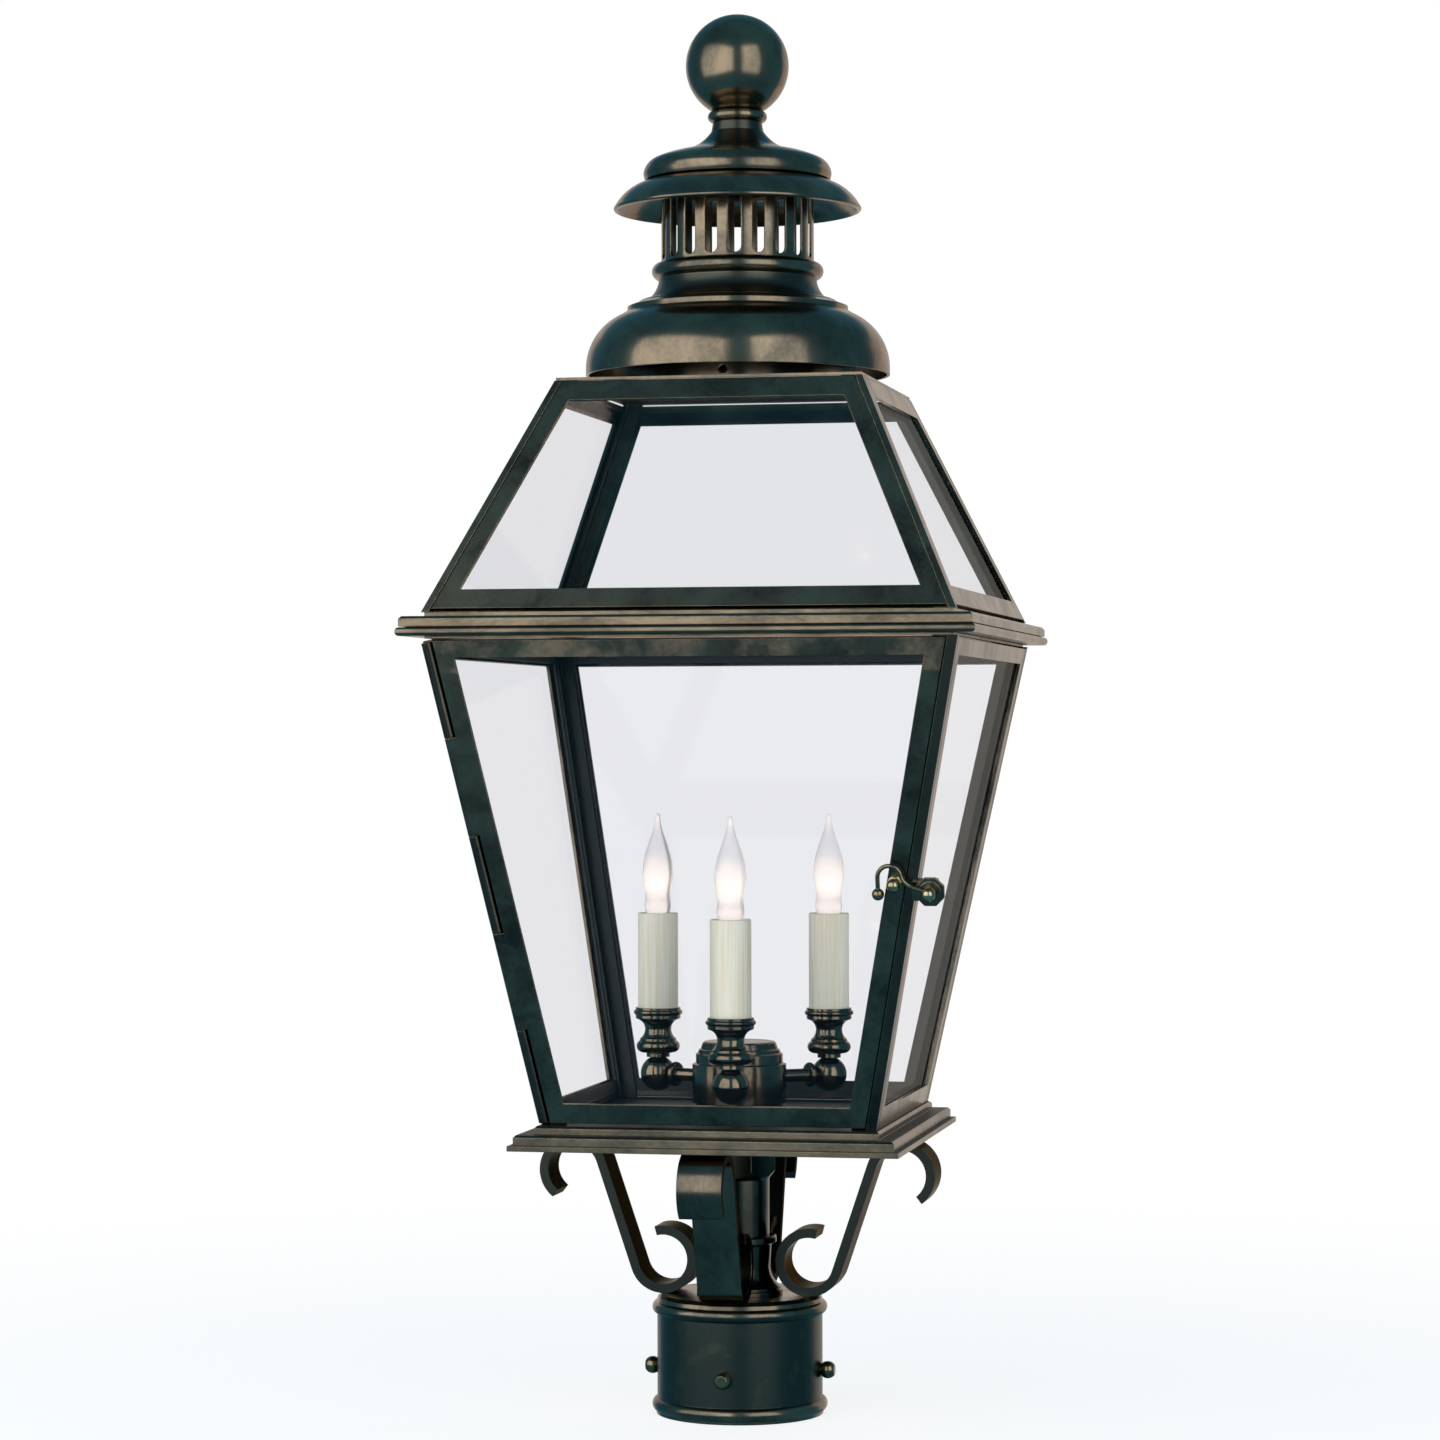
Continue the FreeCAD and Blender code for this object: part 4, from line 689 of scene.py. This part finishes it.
# The envelope from its rim up: radius and rise in mm.
flame = [(5.6, 0), (6.9, 1.6), (7.45, 5), (6.95, 9.6), (7.1, 13), (8.2, 19.5), (8.4, 24),
         (7.6, 31), (5.4, 38.6), (3.0, 45.6), (1.7, 50.6), (1.35, 53.8), (1.05, 55.2)]
flame_height = 56
core_rise, core_half, core_radius = 16.6, 3.0, 2.5
glow_rise, glow_reach = 16.8, 6.0
thread_radius, thread_rise, thread_depth = 5.95, 3.6, 0.8
for number, letter in ((1, "a"), (2, "b"), (3, "c")):
    low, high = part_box(f"bulb_{number}")
    middle = (low + high) / 2
    base_foot, tip = low.z / MM, high.z / MM
    rim = tip - flame_height
    envelope = smooth_outline([(radius, rim + rise) for radius, rise in flame])
    skin = turned_mesh("bulb_envelope", [(0, rim), *envelope, (0.6, tip - 0.15), (0, tip)], 40)
    stand_at(skin, middle)
    glass = new_object(f"bulb_glass_{letter}", skin)
    skin.materials.append(bulb_glass)
    lit = skin.attributes.new("lit", "FLOAT", "POINT")
    above = [(vertex.co.z / MM - rim - glow_rise) / glow_reach for vertex in skin.vertices]
    lit.data.foreach_set("value", [math.exp(-share ** 2) for share in above])
    coil = rim + core_rise
    core = turned_mesh("filament_core", [
        (0, coil - core_half), *arc(0, coil, core_radius, -75, 75, 10), (0, coil + core_half)], 24)
    stand_at(core, middle)
    filament = new_object(f"bulb_filament_{letter}", core)
    core.materials.append(filament_light)
    thread = screw_thread("bulb_thread", middle, base_foot + 3.4, rim + 0.2, thread_radius,
                          thread_rise, thread_depth)
    base = new_object(f"bulb_base_{letter}", thread, 60)
    thread.materials.append(bulb_brass)
    contact = turned_mesh("bulb_contact", [
        (radius, base_foot + rise) for radius, rise in (
            (0, 0), (2.2, 0.1), (2.5, 0.9), (4.4, 2.3), (5.0, 3.5), (0, 3.5))], 40)
    stand_at(contact, middle)
    tip_piece = new_object(f"bulb_contact_{letter}", contact)
    contact.materials.append(bulb_brass)
    for piece, slot in ((glass, "bulb_glass"), (filament, "bulb_glass"), (base, "brass"),
                        (tip_piece, "brass")):
        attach(piece, f"bulb_{letter}")
    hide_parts(f"bulb_{number}")


# ------------------------------------------------------------ floor, light and camera
# A pale studio floor that fades to the white of the room, two tall soft boxes in front of the
# lantern and a wide warm one behind it. In the metal the room is dim and blue where no box stands.

floor_mesh = bpy.data.meshes.new("studio_floor")
shape = bmesh.new()
bmesh.ops.create_circle(shape, cap_ends=True, segments=96, radius=30.0)
shape.to_mesh(floor_mesh)
shape.free()
floor = bpy.data.objects.new("studio_floor", floor_mesh)
scene.collection.objects.link(floor)
floor.visible_glossy = False
# Matt background paper, lit from behind further out so that its edge is lost in the room.
made, tree, output = new_material("pale_floor_paper")
place = add(tree, "ShaderNodeTexCoord").outputs["Object"]
reach = add(tree, "ShaderNodeVectorMath", {0: place}, operation="LENGTH")
far = add(tree, "ShaderNodeMapRange", {
    "Value": reach.outputs["Value"], "From Min": 0.2, "From Max": 1.1},
    interpolation_type="SMOOTHSTEP")
paper = add(tree, "ShaderNodeBsdfPrincipled", {
    "Base Color": linear("#8a8a8a"), "Roughness": 0.9, "Emission Color": linear("#ffffff"),
    "Emission Strength": 0.82})
glow = add(tree, "ShaderNodeEmission", {"Color": linear("#ffffff"), "Strength": 1.0})
both = add(tree, "ShaderNodeMixShader", {
    0: far.outputs["Result"], 1: paper.outputs["BSDF"], 2: glow.outputs["Emission"]})
tree.links.new(both.outputs["Shader"], output.inputs["Surface"])
floor_mesh.materials.append(made)

camera_turn = math.radians(11.56)


def soft_box(name, side, low, high, half_angle, distance, strength, colour="#ffffff"):
    """An upright lamp between two heights in metres. Its side is its angle in degrees from the
    camera's direction, half_angle is half the width it fills, and strength is its radiance."""
    lamp = bpy.data.lights.new(name, "AREA")
    lamp.shape = "RECTANGLE"
    lamp.size = 2 * distance * math.tan(math.radians(half_angle))
    lamp.size_y = high - low
    lamp.energy = strength * lamp.size * lamp.size_y * math.pi
    lamp.color = linear(colour)[:3]
    box = bpy.data.objects.new(name, lamp)
    bearing = math.radians(side) + camera_turn - math.pi / 2
    away = Vector((math.cos(bearing), math.sin(bearing), 0))
    box.location = away * distance + Vector((0, 0, (high + low) / 2))
    box.rotation_euler = away.to_track_quat("Z", "Y").to_euler()
    box.visible_camera = False
    scene.collection.objects.link(box)


soft_box("left_soft_box", side=-48, low=-0.03, high=2.3, half_angle=38, distance=2.0,
         strength=1.5)
soft_box("right_soft_box", side=31, low=-0.03, high=2.3, half_angle=20, distance=2.0,
         strength=1.55)
soft_box("back_wall_light", side=168, low=-0.9, high=1.9, half_angle=44, distance=2.6,
         strength=0.6, colour="#ffd2a6")

world = bpy.data.worlds.new("studio_room")
scene.world = world
world.use_nodes = True
tree = world.node_tree
tree.nodes.clear()
ray = add(tree, "ShaderNodeLightPath")
bounces = add(tree, "ShaderNodeMath", {
    0: ray.outputs["Glossy Depth"], 1: ray.outputs["Diffuse Depth"]})
seen = add(tree, "ShaderNodeMath", {0: bounces.outputs[0], 1: 0.5}, operation="LESS_THAN")
white = add(tree, "ShaderNodeBackground", {"Color": linear("#ffffff"), "Strength": 1.0})
dim = add(tree, "ShaderNodeBackground", {"Color": linear("#467e97"), "Strength": 1.0})
room = add(tree, "ShaderNodeMixShader", {
    0: seen.outputs[0], 1: dim.outputs[0], 2: white.outputs[0]})
add(tree, "ShaderNodeOutputWorld", {"Surface": room.outputs[0]})

camera = bpy.data.objects.new("camera", bpy.data.cameras.new("camera"))
camera.data.lens = 100.17
camera.data.sensor_width = 36.0
camera.location = (0.4308, -2.1574, 0.3672)
camera.rotation_euler = Euler((math.radians(90.314), math.radians(0.12), camera_turn))
scene.collection.objects.link(camera)
scene.camera = camera
scene.view_settings.view_transform = "Standard"
